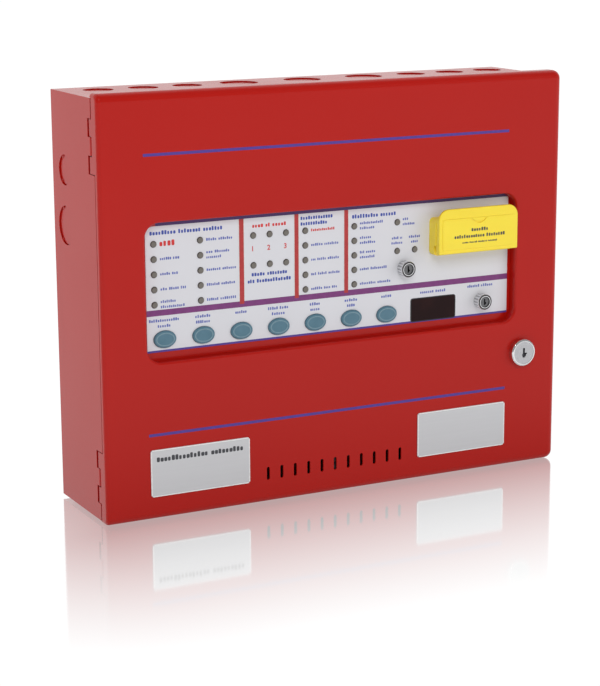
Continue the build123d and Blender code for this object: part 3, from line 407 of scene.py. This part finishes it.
slot_materials = {
    "red_powder_coat": powder_coat(),
    "chrome": polished_chrome(),
    "zinc_steel": zinc_plate(),
    "overlay": printed_film(),
    "lamp_lens": lamp_lens(),
    "window_tint": dark_window(),
    "digit_grey": moulded("digit_grey", (0.04, 0.04, 0.042)),
    "circuit_board": circuit_board(),
    "black_plastic": moulded("black_plastic", (0.016, 0.016, 0.018), 0.45),
    "button_cap": button_film(),
    "yellow_plastic": yellow_abs(),
    "dark_button": moulded("dark_button", (0.014, 0.014, 0.015), 0.32),
    "silver_label": label_metal(),
    "terminal_green": moulded("terminal_green", (0.018, 0.17, 0.055), 0.4),
    "capacitor_sleeve": moulded("capacitor_sleeve", (0.012, 0.016, 0.05), 0.3),
    "core_iron": laminated_core(),
    "coil_tape": wound_tape(),
    "ivory_plastic": moulded("ivory_plastic", (0.62, 0.58, 0.46), 0.42),
    "fuse_glass": plain_metal("fuse_glass", (0.60, 0.60, 0.58), 0.2),
    "brass": plain_metal("brass", (0.62, 0.42, 0.13), 0.25),
    "battery_case": battery_abs(),
    "tab_metal": plain_metal("tab_metal", (0.58, 0.57, 0.54), 0.3),
}
inks = {
    "blue": ink("ink_blue", (0.030, 0.062, 0.33)),
    "red": ink("ink_red", (0.56, 0.025, 0.025)),
    "purple": ink("ink_purple", (0.17, 0.030, 0.16)),
    "violet": ink("ink_violet", (0.070, 0.032, 0.26)),
    # the print's violet darkened with painted shade from the recess lip, for the film's top band
    "dark_violet": ink("ink_dark_violet", (0.055, 0.018, 0.125)),
    "fine_blue": ink("ink_fine_blue", (0.105, 0.135, 0.41)),
    "dark": ink("ink_dark", (0.045, 0.047, 0.055)),
    "deep_red": ink("ink_deep_red", (0.40, 0.028, 0.028)),
    "white": ink("ink_white", (0.62, 0.62, 0.60)),
    # painted highlight along the edges of the plates
    "pale": ink("ink_pale", (0.82, 0.82, 0.81)),
}


def dress(target, material):
    """Gives an object one material in place of those it has."""
    target.data.materials.clear()
    target.data.materials.append(material)


for row in frame["record"]["subparts"]:
    dress(nodes[row["node"]], slot_materials[row["material_slot"]])

# nodes with a finish of their own within their slot; on the key switches it carries painted shade
finishes_and_painted_shade = {"lock_plug": satin_chrome("satin_chrome", 0.52)}
for name in KEY_SWITCHES:
    centre = front_middle(*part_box(f"{name}_switch_plug"))
    finishes_and_painted_shade[f"{name}_switch_body"] = key_bezel(f"{name}_bezel", centre)
    # the plugs take a much darker copy of the satin chrome: painted shade on their faces
    finishes_and_painted_shade[f"{name}_switch_plug"] = satin_chrome(f"{name}_plug_face_painted_shade", 0.16)
for name, material in finishes_and_painted_shade.items():
    dress(nodes[name], material)


# ---------------------------------------------------------------- helpers for new pieces
def add_object(name, data):
    """Links a new object that holds a mesh, curve, light or camera."""
    made = bpy.data.objects.new(name, data)
    bpy.context.scene.collection.objects.link(made)
    return made


def piece(name, bm, body, material):
    """Turns a bmesh built in the row frame into a piece that rides on a body."""
    bmesh.ops.recalc_face_normals(bm, faces=bm.faces)
    mesh = bpy.data.meshes.new(name)
    bm.to_mesh(mesh)
    bm.free()
    made = add_object(name, mesh)
    mesh.materials.append(material)
    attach(made, body)


def slab(bm, outline, y_back, y_front):
    """Closed slab with an outline of (x, z) points, between two planes parallel to the wall."""
    back = [bm.verts.new((x, y_back, z)) for x, z in outline]
    front = [bm.verts.new((x, y_front, z)) for x, z in outline]
    bm.faces.new(back)
    bm.faces.new(front[::-1])
    count = len(outline)
    for i in range(count):
        j = (i + 1) % count
        bm.faces.new((back[i], front[i], front[j], back[j]))


def join_loops(bm, loops):
    """Skins a ring of loops of vertices, the last loop joined to the first."""
    for here, there in zip(loops, loops[1:] + loops[:1]):
        for i in range(len(here)):
            j = (i + 1) % len(here)
            bm.faces.new((here[i], here[j], there[j], there[i]))


def rectangle(x0, x1, z0, z1):
    return [(x0, z0), (x1, z0), (x1, z1), (x0, z1)]


def rounded(x0, x1, z0, z1, radius, steps=4):
    """Outline of a rectangle with rounded corners."""
    points = []
    corners = (
        (x1 - radius, z0 + radius, -90),
        (x1 - radius, z1 - radius, 0),
        (x0 + radius, z1 - radius, 90),
        (x0 + radius, z0 + radius, 180),
    )
    for cx, cz, start in corners:
        for step in range(steps + 1):
            angle = math.radians(start + 90 * step / steps)
            points.append((cx + radius * math.cos(angle), cz + radius * math.sin(angle)))
    return points


def corner_arc(cx, cz, radius, start, end):
    """Ten points of an arc from one angle to another, in degrees, anticlockwise from +X."""
    steps = [math.radians(start + (end - start) * i / 9) for i in range(10)]
    return [(cx + radius * math.cos(a), cz + radius * math.sin(a)) for a in steps]


# ---------------------------------------------------------------- print on the door, film, plate and flap
INK = 0.04 * MM  # thickness of one layer of ink


class Print:
    """Ink of several colours on one flat face. Positions and sizes are in millimetres."""

    # a placeholder mark, against the height of the lettering it stands for
    WORD_GAP = 0.62
    MARK_PITCH = 0.86
    MARK_FOOT = 0.5
    MARK_TOPS = (0.34, 0.34, 0.5, 0.62)
    # and against its own pitch and width
    MARK_WIDTHS = (0.60, 0.80)
    WIDEST_MARK = 0.95
    MARK_CORNER = 0.3

    def __init__(self, face_y):
        self.face = face_y
        self.sheets = {}
        self.chance = random.Random(5)

    def sheet(self, colour, lift=0):
        """The bmesh of one colour. Print with a lift of 1 lies over other print."""
        key = (colour, lift)
        if key not in self.sheets:
            self.sheets[key] = bmesh.new()
        return self.sheets[key]

    def area(self, colour, x0, x1, z0, z1, lift=0):
        """A filled rectangle."""
        outline = rectangle(x0 * MM, x1 * MM, z0 * MM, z1 * MM)
        slab(self.sheet(colour, lift), outline, self.face, self.face - INK * (1 + lift))

    def outline(self, colour, points):
        """A filled shape of any outline."""
        slab(self.sheet(colour), [(x * MM, z * MM) for x, z in points], self.face, self.face - INK)

    def words(self, colour, x, z, height, lengths, align="left", weight=1.0):
        """One line of placeholder words, each a row of small blank marks with no letter shapes."""
        gap = height * self.WORD_GAP
        total = sum(lengths) + gap * (len(lengths) - 1)
        at = x if align == "left" else x - total / 2
        for length in lengths:
            count = max(2, round(length / (height * self.MARK_PITCH)))
            pitch = length / count
            for i in range(count):
                low = z - height * self.MARK_FOOT
                high = z + height * self.chance.choice(self.MARK_TOPS)
                width = pitch * min(self.WIDEST_MARK, self.chance.uniform(*self.MARK_WIDTHS) * weight)
                start = at + i * pitch
                corner = min(width, high - low) * self.MARK_CORNER
                mark = rounded(start * MM, (start + width) * MM, low * MM, high * MM, corner * MM, 2)
                slab(self.sheet(colour), mark, self.face, self.face - INK)
            at += length + gap

    def lines(self, colour, x, z, pitch, height, texts, align="left"):
        """Lines of placeholder words one under another, the first of them at z."""
        for number, lengths in enumerate(texts):
            self.words(colour, x, z - pitch * number, height, lengths, align)

    def finish(self, name, body):
        """Makes one piece of every colour and lift."""
        for (colour, lift), bm in self.sheets.items():
            label = f"{name}_{colour}" + (f"_{lift}" if lift else "")
            piece(label, bm, body, inks[colour])


# two stripes across the door
STRIPE_LEFT, STRIPE_RIGHT, STRIPE_WIDTH = -158.7, 144.3, 2.1
STRIPE_HEIGHTS = (111.0, -91.3)

stripes = Print(side("door_shell", Y, LOW))
for z in STRIPE_HEIGHTS:
    stripes.area("violet", STRIPE_LEFT, STRIPE_RIGHT, z - STRIPE_WIDTH / 2, z + STRIPE_WIDTH / 2)
stripes.finish("door_stripe", "door")

film_face = side("overlay_panel", Y, LOW)
film_low, film_high = (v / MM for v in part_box("overlay_panel"))
left, right, bottom, top = film_low.x, film_high.x, film_low.z, film_high.z
film = Print(film_face)

# the top band follows the film's rounded corners, and ends in a red corner at the left; its violet is
# darkened with painted shade from the recess lip
BAND_DEPTH, RED_CORNER = 3.0, 8.0
FILM_CORNER, INNER_CORNER = 10.7, 6.0
LEFT_ARC_X, RIGHT_ARC_X, LEFT_ARC_START = -147.3, 141.5, 138.4
band, band_start, arc_z = top - BAND_DEPTH, left + RED_CORNER, top - FILM_CORNER
right_arc_start = math.degrees(math.asin((FILM_CORNER - BAND_DEPTH) / FILM_CORNER))
right_arc = corner_arc(RIGHT_ARC_X, arc_z, FILM_CORNER, right_arc_start, 90)
left_arc = corner_arc(LEFT_ARC_X, arc_z, FILM_CORNER, LEFT_ARC_START, 90)
inner_arc = corner_arc(left + INNER_CORNER, band - INNER_CORNER, INNER_CORNER, 90, 180)
film.outline("dark_violet", [(band_start, band), *right_arc, (band_start, top)])
film.outline(
    "deep_red", [(left, left_arc[0][1]), *left_arc, (band_start, top), (band_start, band), *inner_arc]
)

# a line along the bottom, a bar above the buttons, and dividers with white edges
BOTTOM_LINE = 1.5
BAR_LOW, BAR_HIGH = -5.8, -1.4
DIVIDERS = ((-81.7, -78.0), (-36.7, -33.3), (4.9, 8.3))
DIVIDER_FOOT, DIVIDER_EDGE = -3.4, 0.5
film.area("violet", left, right, bottom, bottom + BOTTOM_LINE)
film.area("purple", left, right, BAR_LOW, BAR_HIGH)
for x0, x1 in DIVIDERS:
    film.area("deep_red", x0, x1, DIVIDER_FOOT, band, lift=1)
    for edge in (x0 - DIVIDER_EDGE, x1):
        film.area("white", edge, edge + DIVIDER_EDGE, BAR_HIGH, band, lift=1)

# headings, given as lengths of words
LAMP_COLUMNS = {"a": -149.0, "b": -112.7, "c": -27.7, "d": 13.5}
LAMP_ROWS = [46.4 - 11.0 * i for i in range(5)]
HEADING, ZONE_HEADING, SMALL_HEADING, ALARM_WORD = 2.7, 2.5, 2.4, 3.7
film.words("blue", -151.8, 54.2, HEADING, (20.6, 17.8, 15.6))
film.words("red", LAMP_COLUMNS["a"] + 4.7, LAMP_ROWS[0], ALARM_WORD, (12.4,))
film.words("red", -56.95, 53.2, ZONE_HEADING, (9.2, 4.0, 11.8), "centre")
film.lines("blue", -57.2, 17.4, 5.0, ZONE_HEADING, ((11.2, 16.6), (5.8, 28.4)), "centre")
film.lines("blue", -31.5, 55.8, 4.2, SMALL_HEADING, ((27.0,), (22.5,)))
film.words("blue", 11.6, 53.6, HEADING, (22.6, 13.8))

# captions of one or two lines beside the lamps, given as lengths of words, column by column
CAPTION, CAPTION_PITCH, BESIDE_LAMP = 1.85, 3.8, 4.8
captions = {
    "a": ((), ((9.0, 5.2),), ((8.0, 5.0),), ((5.5, 8.0, 4.6),), ((12.0,), (19.0,))),
    "b": (((8.6, 11.5),), ((5.5, 12.0), (12.0,)), ((11.5, 11.2),), ((10.5, 11.2),), ((9.6, 13.0),)),
    "c": ((), ((10.0, 12.0),), ((4.0, 7.6, 9.8),), ((4.6, 7.6, 9.8),), ((9.5, 5.6, 4.6),)),
    "d": (((20.0,), (12.5,)), ((10.0,), (13.5,)), ((4.0, 8.5), (13.0,)), ((8.0, 14.4),), ((14.0, 11.6),)),
}
for column, texts in captions.items():
    for z, caption in zip(LAMP_ROWS, texts):
        first = z + CAPTION_PITCH / 2 if len(caption) > 1 else z
        beside = LAMP_COLUMNS[column] + BESIDE_LAMP
        film.lines("fine_blue", beside, first, CAPTION_PITCH, CAPTION, caption)
film.words("red", LAMP_COLUMNS["c"] + BESIDE_LAMP, LAMP_ROWS[0], CAPTION, (20.0,))
film.lines("fine_blue", 55.2, 48.6, CAPTION_PITCH, CAPTION, ((5.2,), (10.6,)))
for x, caption in ((50.5, ((6.0, 2.2), (10.0,))), (65.8, ((10.2,), (6.4,)))):
    film.lines("fine_blue", x, 34.6, CAPTION_PITCH, CAPTION, caption, "centre")

# captions over the buttons, the display window and the lower key switch
BUTTON_CAPTION = 2.0
BUTTON_COLUMNS = [-141.7 + 30.5 * i for i in range(BUTTONS)]
WINDOW_X, LOWER_KEY_X = 82.5, 125.1
button_captions = (
    ((24.0,), (10.5,)), ((12.5,), (11.5,)), ((9.5,),), ((8.4, 7.6), (11.0,)),
    ((9.0,), (8.0,)), ((11.0,), (7.0,)), ((9.0,),),
)
for x, caption in zip(BUTTON_COLUMNS, button_captions):
    film.lines("fine_blue", x, -9.3, 4.1, BUTTON_CAPTION, caption, "centre")
film.words("fine_blue", WINDOW_X, -9.4, BUTTON_CAPTION, (12.4, 9.4), "centre")
film.words("fine_blue", LOWER_KEY_X, -8.8, BUTTON_CAPTION, (11.2, 11.0), "centre")
film.finish("film_print", "door")

# zone numbers between the two rows of zone lamps
ZONE_COLUMNS, ZONE_DIGIT_Z = (-70.9, -57.8, -44.2), 36.4
ZONE_DIGIT_SIZE, ZONE_DIGIT_SWELL = 5.2, 0.11
upright = Matrix.Rotation(math.radians(90), 4, "X")
for number, x in enumerate(ZONE_COLUMNS, start=1):
    curve = bpy.data.curves.new(f"zone_digit_{number}_curve", "FONT")
    curve.body = str(number)
    curve.size = ZONE_DIGIT_SIZE * MM
    curve.offset = ZONE_DIGIT_SWELL * MM
    curve.extrude = INK / 2
    curve.align_x = "CENTER"
    curve.align_y = "CENTER"
    text = add_object(f"zone_digit_{number}_text", curve)
    text.matrix_world = Matrix.Translation((x * MM, film_face - INK / 2, ZONE_DIGIT_Z * MM)) @ upright
    bpy.context.view_layer.update()
    evaluated = text.evaluated_get(bpy.context.evaluated_depsgraph_get())
    mesh = bpy.data.meshes.new_from_object(evaluated)
    mesh.transform(text.matrix_world)
    bpy.data.objects.remove(text)
    digit = add_object(f"zone_digit_{number}", mesh)
    dress(digit, inks["red"])
    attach(digit, "door")

# placeholder line on the left plate
PLATE_LETTERING, PLATE_MARGIN, PLATE_DROP = 3.5, 4.6, 7.4
plate_low, plate_high = (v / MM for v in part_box("name_plate_left"))
line_x, line_z = plate_low.x + PLATE_MARGIN, plate_high.z - PLATE_DROP
plate = Print(plate_low.y * MM)
plate.words("dark", line_x, line_z, PLATE_LETTERING, (41.0, 26.5), weight=1.1)
plate.finish("plate_print", "door")

# pale rim just inside the edge of both plates, left open at the corners: a painted highlight along their
# edges
RIM_OUTER, RIM_INNER, RIM_CORNER = 0.1, 0.8, 1.2
for name in ("name_plate_left", "name_plate_right"):
    low, high = (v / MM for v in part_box(name))
    across = (low.x + RIM_CORNER, high.x - RIM_CORNER)
    upwards = (low.z + RIM_CORNER, high.z - RIM_CORNER)
    rim = Print(low.y * MM)
    rim.area("pale", *across, high.z - RIM_INNER, high.z - RIM_OUTER)
    rim.area("pale", *across, low.z + RIM_OUTER, low.z + RIM_INNER)
    rim.area("pale", low.x + RIM_OUTER, low.x + RIM_INNER, *upwards)
    rim.area("pale", high.x - RIM_INNER, high.x - RIM_OUTER, *upwards)
    rim.finish(f"{name}_rim", "door")

# placeholder lines on the flap
FLAP_MIDDLE, FLAP_LETTERING, FLAP_FINE_LETTERING = 115.0, 2.4, 1.3
flap = Print(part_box("release_flap")[0].y)
flap.lines("dark", FLAP_MIDDLE, 38.4, 4.8, FLAP_LETTERING, ((15.4,), (27.0, 17.0)), "centre")
flap.words("dark", FLAP_MIDDLE, 28.9, FLAP_FINE_LETTERING, (5.6, 7.0, 7.8, 8.6), "centre")
flap.finish("flap_print", "flap")


# ---------------------------------------------------------------- rims, rings and the window's gasket
RING_STEPS = 64


def swept_ring(centre, y, half_width, half_height, section):
    """Closed ring round an oval, its section given as (outward, forward) offsets, all in metres."""
    ring = bmesh.new()
    loops = []
    for step in range(RING_STEPS):
        angle = 2 * math.pi * step / RING_STEPS
        nx, nz = math.cos(angle) / half_width, math.sin(angle) / half_height
        length = math.hypot(nx, nz)
        nx, nz = nx / length, nz / length
        px, pz = centre[0] + half_width * math.cos(angle), centre[1] + half_height * math.sin(angle)
        loops.append([
            ring.verts.new((px + out * nx, y - forward, pz + out * nz)) for out, forward in section
        ])
    join_loops(ring, loops)
    return ring


def half_round(width, height):
    """Section of a half-round bead, sunk a little into what carries it."""
    half, sunk = width / 2, 0.05 * MM
    arc = [(half * math.cos(a), height * math.sin(a)) for a in map(math.radians, range(0, 181, 30))]
    return [(half, -sunk), *arc, (-half, -sunk)]


def flat(width, proud):
    """Section of a flat ring, sunk a little into what carries it."""
    half, sunk = width / 2, 0.1 * MM
    return [(half, -sunk), (half, proud), (-half, proud), (-half, -sunk)]


# embossed rim on every button, riding on it, its paler teal a painted highlight
BEAD_HALF_WIDTH, BEAD_HALF_HEIGHT = 6.9 * MM, 4.55 * MM
bead_section = half_round(0.9 * MM, 0.25 * MM)
bead_highlight = button_bead()
for number in range(1, BUTTONS + 1):
    low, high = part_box(f"button_{number}")
    ring = swept_ring(front_middle(low, high), low.y, BEAD_HALF_WIDTH, BEAD_HALF_HEIGHT, bead_section)
    piece(f"button_{number}_bead", ring, f"push_button_{number}", bead_highlight)

# a dark ring of painted shade and a thin bright one inside it, between each key switch's bezel and its plug
KEY_RINGS = (
    ("ring", 5.35, flat(1.0 * MM, 0.06 * MM), "black_plastic"),
    ("trim", 4.60, flat(0.44 * MM, 0.12 * MM), "chrome"),
)
for name in KEY_SWITCHES:
    centre = front_middle(*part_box(f"{name}_switch_plug"))
    body_front = side(f"{name}_switch_body", Y, LOW)
    for part, radius, section, slot in KEY_RINGS:
        ring = swept_ring(centre, body_front, radius * MM, radius * MM, section)
        piece(f"{name}_switch_{part}", ring, "door", slot_materials[slot])

# thin dark gasket line round the display window's filter
WINDOW_Z, WINDOW_WIDTH, WINDOW_HEIGHT = -22.6, 39.3, 17.5
GASKET_PROUD, GASKET_SUNK = 0.1 * MM, 0.05 * MM


def window_outline(margin, radius):
    """Rounded outline round the window's opening, larger than it by a margin."""
    half_width, half_height = WINDOW_WIDTH / 2 + margin, WINDOW_HEIGHT / 2 + margin
    sides = (WINDOW_X - half_width, WINDOW_X + half_width, WINDOW_Z - half_height, WINDOW_Z + half_height)
    return rounded(*(v * MM for v in sides), radius * MM)


filter_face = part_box("display_window")[0].y
outer, inner = window_outline(0.5, 2.0), window_outline(-0.3, 1.2)
edges = (
    (outer, film_face),
    (outer, film_face - GASKET_PROUD),
    (inner, filter_face - GASKET_PROUD),
    (inner, filter_face + GASKET_SUNK),
)
gasket = bmesh.new()
join_loops(gasket, [[gasket.verts.new((x, y, z)) for x, z in points] for points, y in edges])
piece("window_gasket", gasket, "door", slot_materials["black_plastic"])


# ---------------------------------------------------------------- small parts on the two boards
GRID_X, GRID_Z = 2.5, 3.0
SPACING_X, SPACING_Z = 2.6, 2.8
CLEARANCE = 2.5
CHIP_HALF_WIDTH = 0.6
CHIP_BODY_HALF, CHIP_END_AT, CHIP_END_HALF = 0.55, 0.8, 0.25
CHIP_HEIGHTS = (0.5, 0.55, 0.8)


def small_parts(name, body, board_y, outward, areas, keep_off, count, seed):
    """Chip resistors and capacitors on a grid, in millimetres, clear of the rectangles round larger parts.

    Areas and rectangles are (x0, x1, z0, z1). outward is -1 for parts on the face towards the viewer.
    """
    chance = random.Random(seed)
    bodies, ends = bmesh.new(), bmesh.new()
    placed = []
    while len(placed) < count:
        x0, x1, z0, z1 = chance.choice(areas)
        x = round(chance.uniform(x0, x1) / GRID_X) * GRID_X
        z = round(chance.uniform(z0, z1) / GRID_Z) * GRID_Z
        if any(abs(x - px) < SPACING_X and abs(z - pz) < SPACING_Z for px, pz in placed):
            continue
        if any(
            a - CLEARANCE < x < b + CLEARANCE and c - CLEARANCE < z < d + CLEARANCE for a, b, c, d in keep_off
        ):
            continue
        placed.append((x, z))
        front = board_y + outward * chance.choice(CHIP_HEIGHTS) * MM
        low, high = (z - CHIP_HALF_WIDTH) * MM, (z + CHIP_HALF_WIDTH) * MM
        for offset, half, target in (
            (0.0, CHIP_BODY_HALF, bodies),
            (-CHIP_END_AT, CHIP_END_HALF, ends),
            (CHIP_END_AT, CHIP_END_HALF, ends),
        ):
            part = rectangle((x + offset - half) * MM, (x + offset + half) * MM, low, high)
            slab(target, part, board_y, front)
    piece(f"{name}_bodies", bodies, body, slot_materials["black_plastic"])
    piece(f"{name}_ends", ends, body, slot_materials["tab_metal"])


small_parts(
    "main_board_smd", "enclosure", side("main_board", Y, LOW), -1,
    areas=[(-140.0, 35.0, -24.0, 66.0)],
    keep_off=[
        (-105, -85, 20, 40), (-61, -48, 11, 49), (-25, -15, 20, 40), (22, 34, 54, 84),
        (-126, -94, -18, -6), (-147, -141, -31, -25), (-55, -50, -31, -25), (36, 42, -31, -25),
    ],
    count=150, seed=7,
)
small_parts(
    "display_board_smd", "door", side("display_board", Y, HIGH), 1,
    areas=[(-125.0, 30.0, 2.0, 50.0)],
    keep_off=[
        (-98, -82, 12, 52), (-47, -33, 15, 25), (-7, 7, 17, 27), (-36, -4, 38, 50),
        (-135, -126, 50, 60), (28, 38, 50, 60), (50, 63, 4, 18),
    ],
    count=90, seed=11,
)

# ---------------------------------------------------------------- floor, surroundings, lights, camera
FLOOR = side("door_shell", Z, LOW)
FLOOR_GAP = 0.3 * MM
FLOOR_HALF = 6.0
MIRROR_REACH, MIRROR_FALL, MIRROR_SHARE, MIRROR_ROUGHNESS = 0.25, 1.1, 0.66, 0.07
FLOOR_GLOW = 1.04
footprint_low, footprint_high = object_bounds()


def floor_sheet():
    """Lit white acrylic: a soft mirror beside the object that fades out with distance."""
    paint = Paint("stage_white", (1.0, 1.0, 1.0))
    x, y, _ = paint.position()
    centre, half = (footprint_low + footprint_high) / 2, (footprint_high - footprint_low) / 2
    away = []
    for value, c, h in ((x, centre.x, half.x), (y, centre.y, half.y)):
        past = paint.math("SUBTRACT", paint.math("ABSOLUTE", paint.math("SUBTRACT", value, c)), h)
        away.append(paint.math("MAXIMUM", past, 0.0))
    squares = paint.math("ADD", paint.math("POWER", away[0], 2.0), paint.math("POWER", away[1], 2.0))
    distance = paint.math("SQRT", squares)
    fade = paint.math("POWER", paint.ramp(distance, MIRROR_REACH, 0.0), MIRROR_FALL)
    mirror = paint.math("MULTIPLY", fade, MIRROR_SHARE)
    white = (1, 1, 1, 1)
    glow = paint.node("ShaderNodeEmission", {"Color": white, "Strength": FLOOR_GLOW}).outputs[0]
    gloss = paint.node("ShaderNodeBsdfGlossy", {"Color": white, "Roughness": MIRROR_ROUGHNESS}).outputs[0]
    blend = paint.node("ShaderNodeMixShader", {0: mirror, 1: glow, 2: gloss}).outputs[0]
    output = next(n for n in paint.tree.nodes if n.type == "OUTPUT_MATERIAL")
    paint.tree.links.new(blend, output.inputs["Surface"])
    return paint.material


floor_bm = bmesh.new()
for x, y in rectangle(-FLOOR_HALF, FLOOR_HALF, -FLOOR_HALF, FLOOR_HALF):
    floor_bm.verts.new((x, y, FLOOR - FLOOR_GAP))
floor_bm.faces.new(floor_bm.verts)
floor_mesh = bpy.data.meshes.new("floor")
floor_bm.to_mesh(floor_mesh)
floor_bm.free()
floor = add_object("floor", floor_mesh)
floor_mesh.materials.append(floor_sheet())
floor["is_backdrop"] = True

# bright surroundings behind the object, dim in front of it
BRIGHT, DIM, BLEND = 1.02, 0.32, 0.25
world = bpy.data.worlds.new("studio")
bpy.context.scene.world = world
world.use_nodes = True
tree = world.node_tree
background = next(n for n in tree.nodes if n.type == "BACKGROUND")
direction = tree.nodes.new("ShaderNodeTexCoord").outputs["Generated"]
along = tree.nodes.new("ShaderNodeSeparateXYZ")
tree.links.new(direction, along.inputs[0])
ramp = tree.nodes.new("ShaderNodeMapRange")
tree.links.new(along.outputs["Y"], ramp.inputs["Value"])
ramp.interpolation_type = "SMOOTHSTEP"
for socket, value in (("From Min", -BLEND), ("From Max", BLEND), ("To Min", DIM), ("To Max", BRIGHT)):
    ramp.inputs[socket].default_value = value
tree.links.new(ramp.outputs[0], background.inputs["Strength"])
background.inputs["Color"].default_value = (1.0, 1.0, 1.0, 1.0)


def softbox(name, place, target, size, power, shown=False):
    """Rectangular area light aimed at a target. Only a shown one is seen in reflections."""
    light = bpy.data.lights.new(name, "AREA")
    light.shape = "RECTANGLE"
    light.size, light.size_y = size
    light.energy = power
    holder = add_object(name, light)
    holder.location = place
    holder.rotation_mode = "QUATERNION"
    holder.rotation_quaternion = (Vector(target) - Vector(place)).to_track_quat("-Z", "Y")
    holder.visible_glossy = shown
    holder.visible_camera = False


softbox("key", (-0.4, -1.9, 1.35), (0, -0.05, 0), (1.4, 1.0), 15.5)
softbox("fill", (1.6, -1.4, 0.5), (0, -0.05, 0), (1.2, 1.2), 7.0)
softbox("glint", (-0.55, -1.0, 0.95), (0, -0.09, 0.0), (0.14, 0.14), 1.0, shown=True)

CAMERA_PLACE = (-0.6908, -1.3603, 0.2855)
CAMERA_LENS, CAMERA_SENSOR = 103.92, 36.0
CAMERA_YAW, CAMERA_PITCH, CAMERA_ROLL = (math.radians(a) for a in (27.255, -12.674, -0.286))

camera_data = bpy.data.cameras.new("camera")
camera_data.lens = CAMERA_LENS
camera_data.sensor_width = CAMERA_SENSOR
camera_data.clip_start, camera_data.clip_end = 0.05, 50.0
camera = add_object("camera", camera_data)
aim = Vector((
    math.sin(CAMERA_YAW) * math.cos(CAMERA_PITCH),
    math.cos(CAMERA_YAW) * math.cos(CAMERA_PITCH),
    math.sin(CAMERA_PITCH),
))
camera.matrix_world = (
    Matrix.Translation(CAMERA_PLACE)
    @ aim.to_track_quat("-Z", "Y").to_matrix().to_4x4()
    @ Matrix.Rotation(CAMERA_ROLL, 4, "Z")
)
bpy.context.scene.camera = camera
bpy.context.scene.view_settings.view_transform = "Standard"

bpy.context.view_layer.update()
low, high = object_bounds()
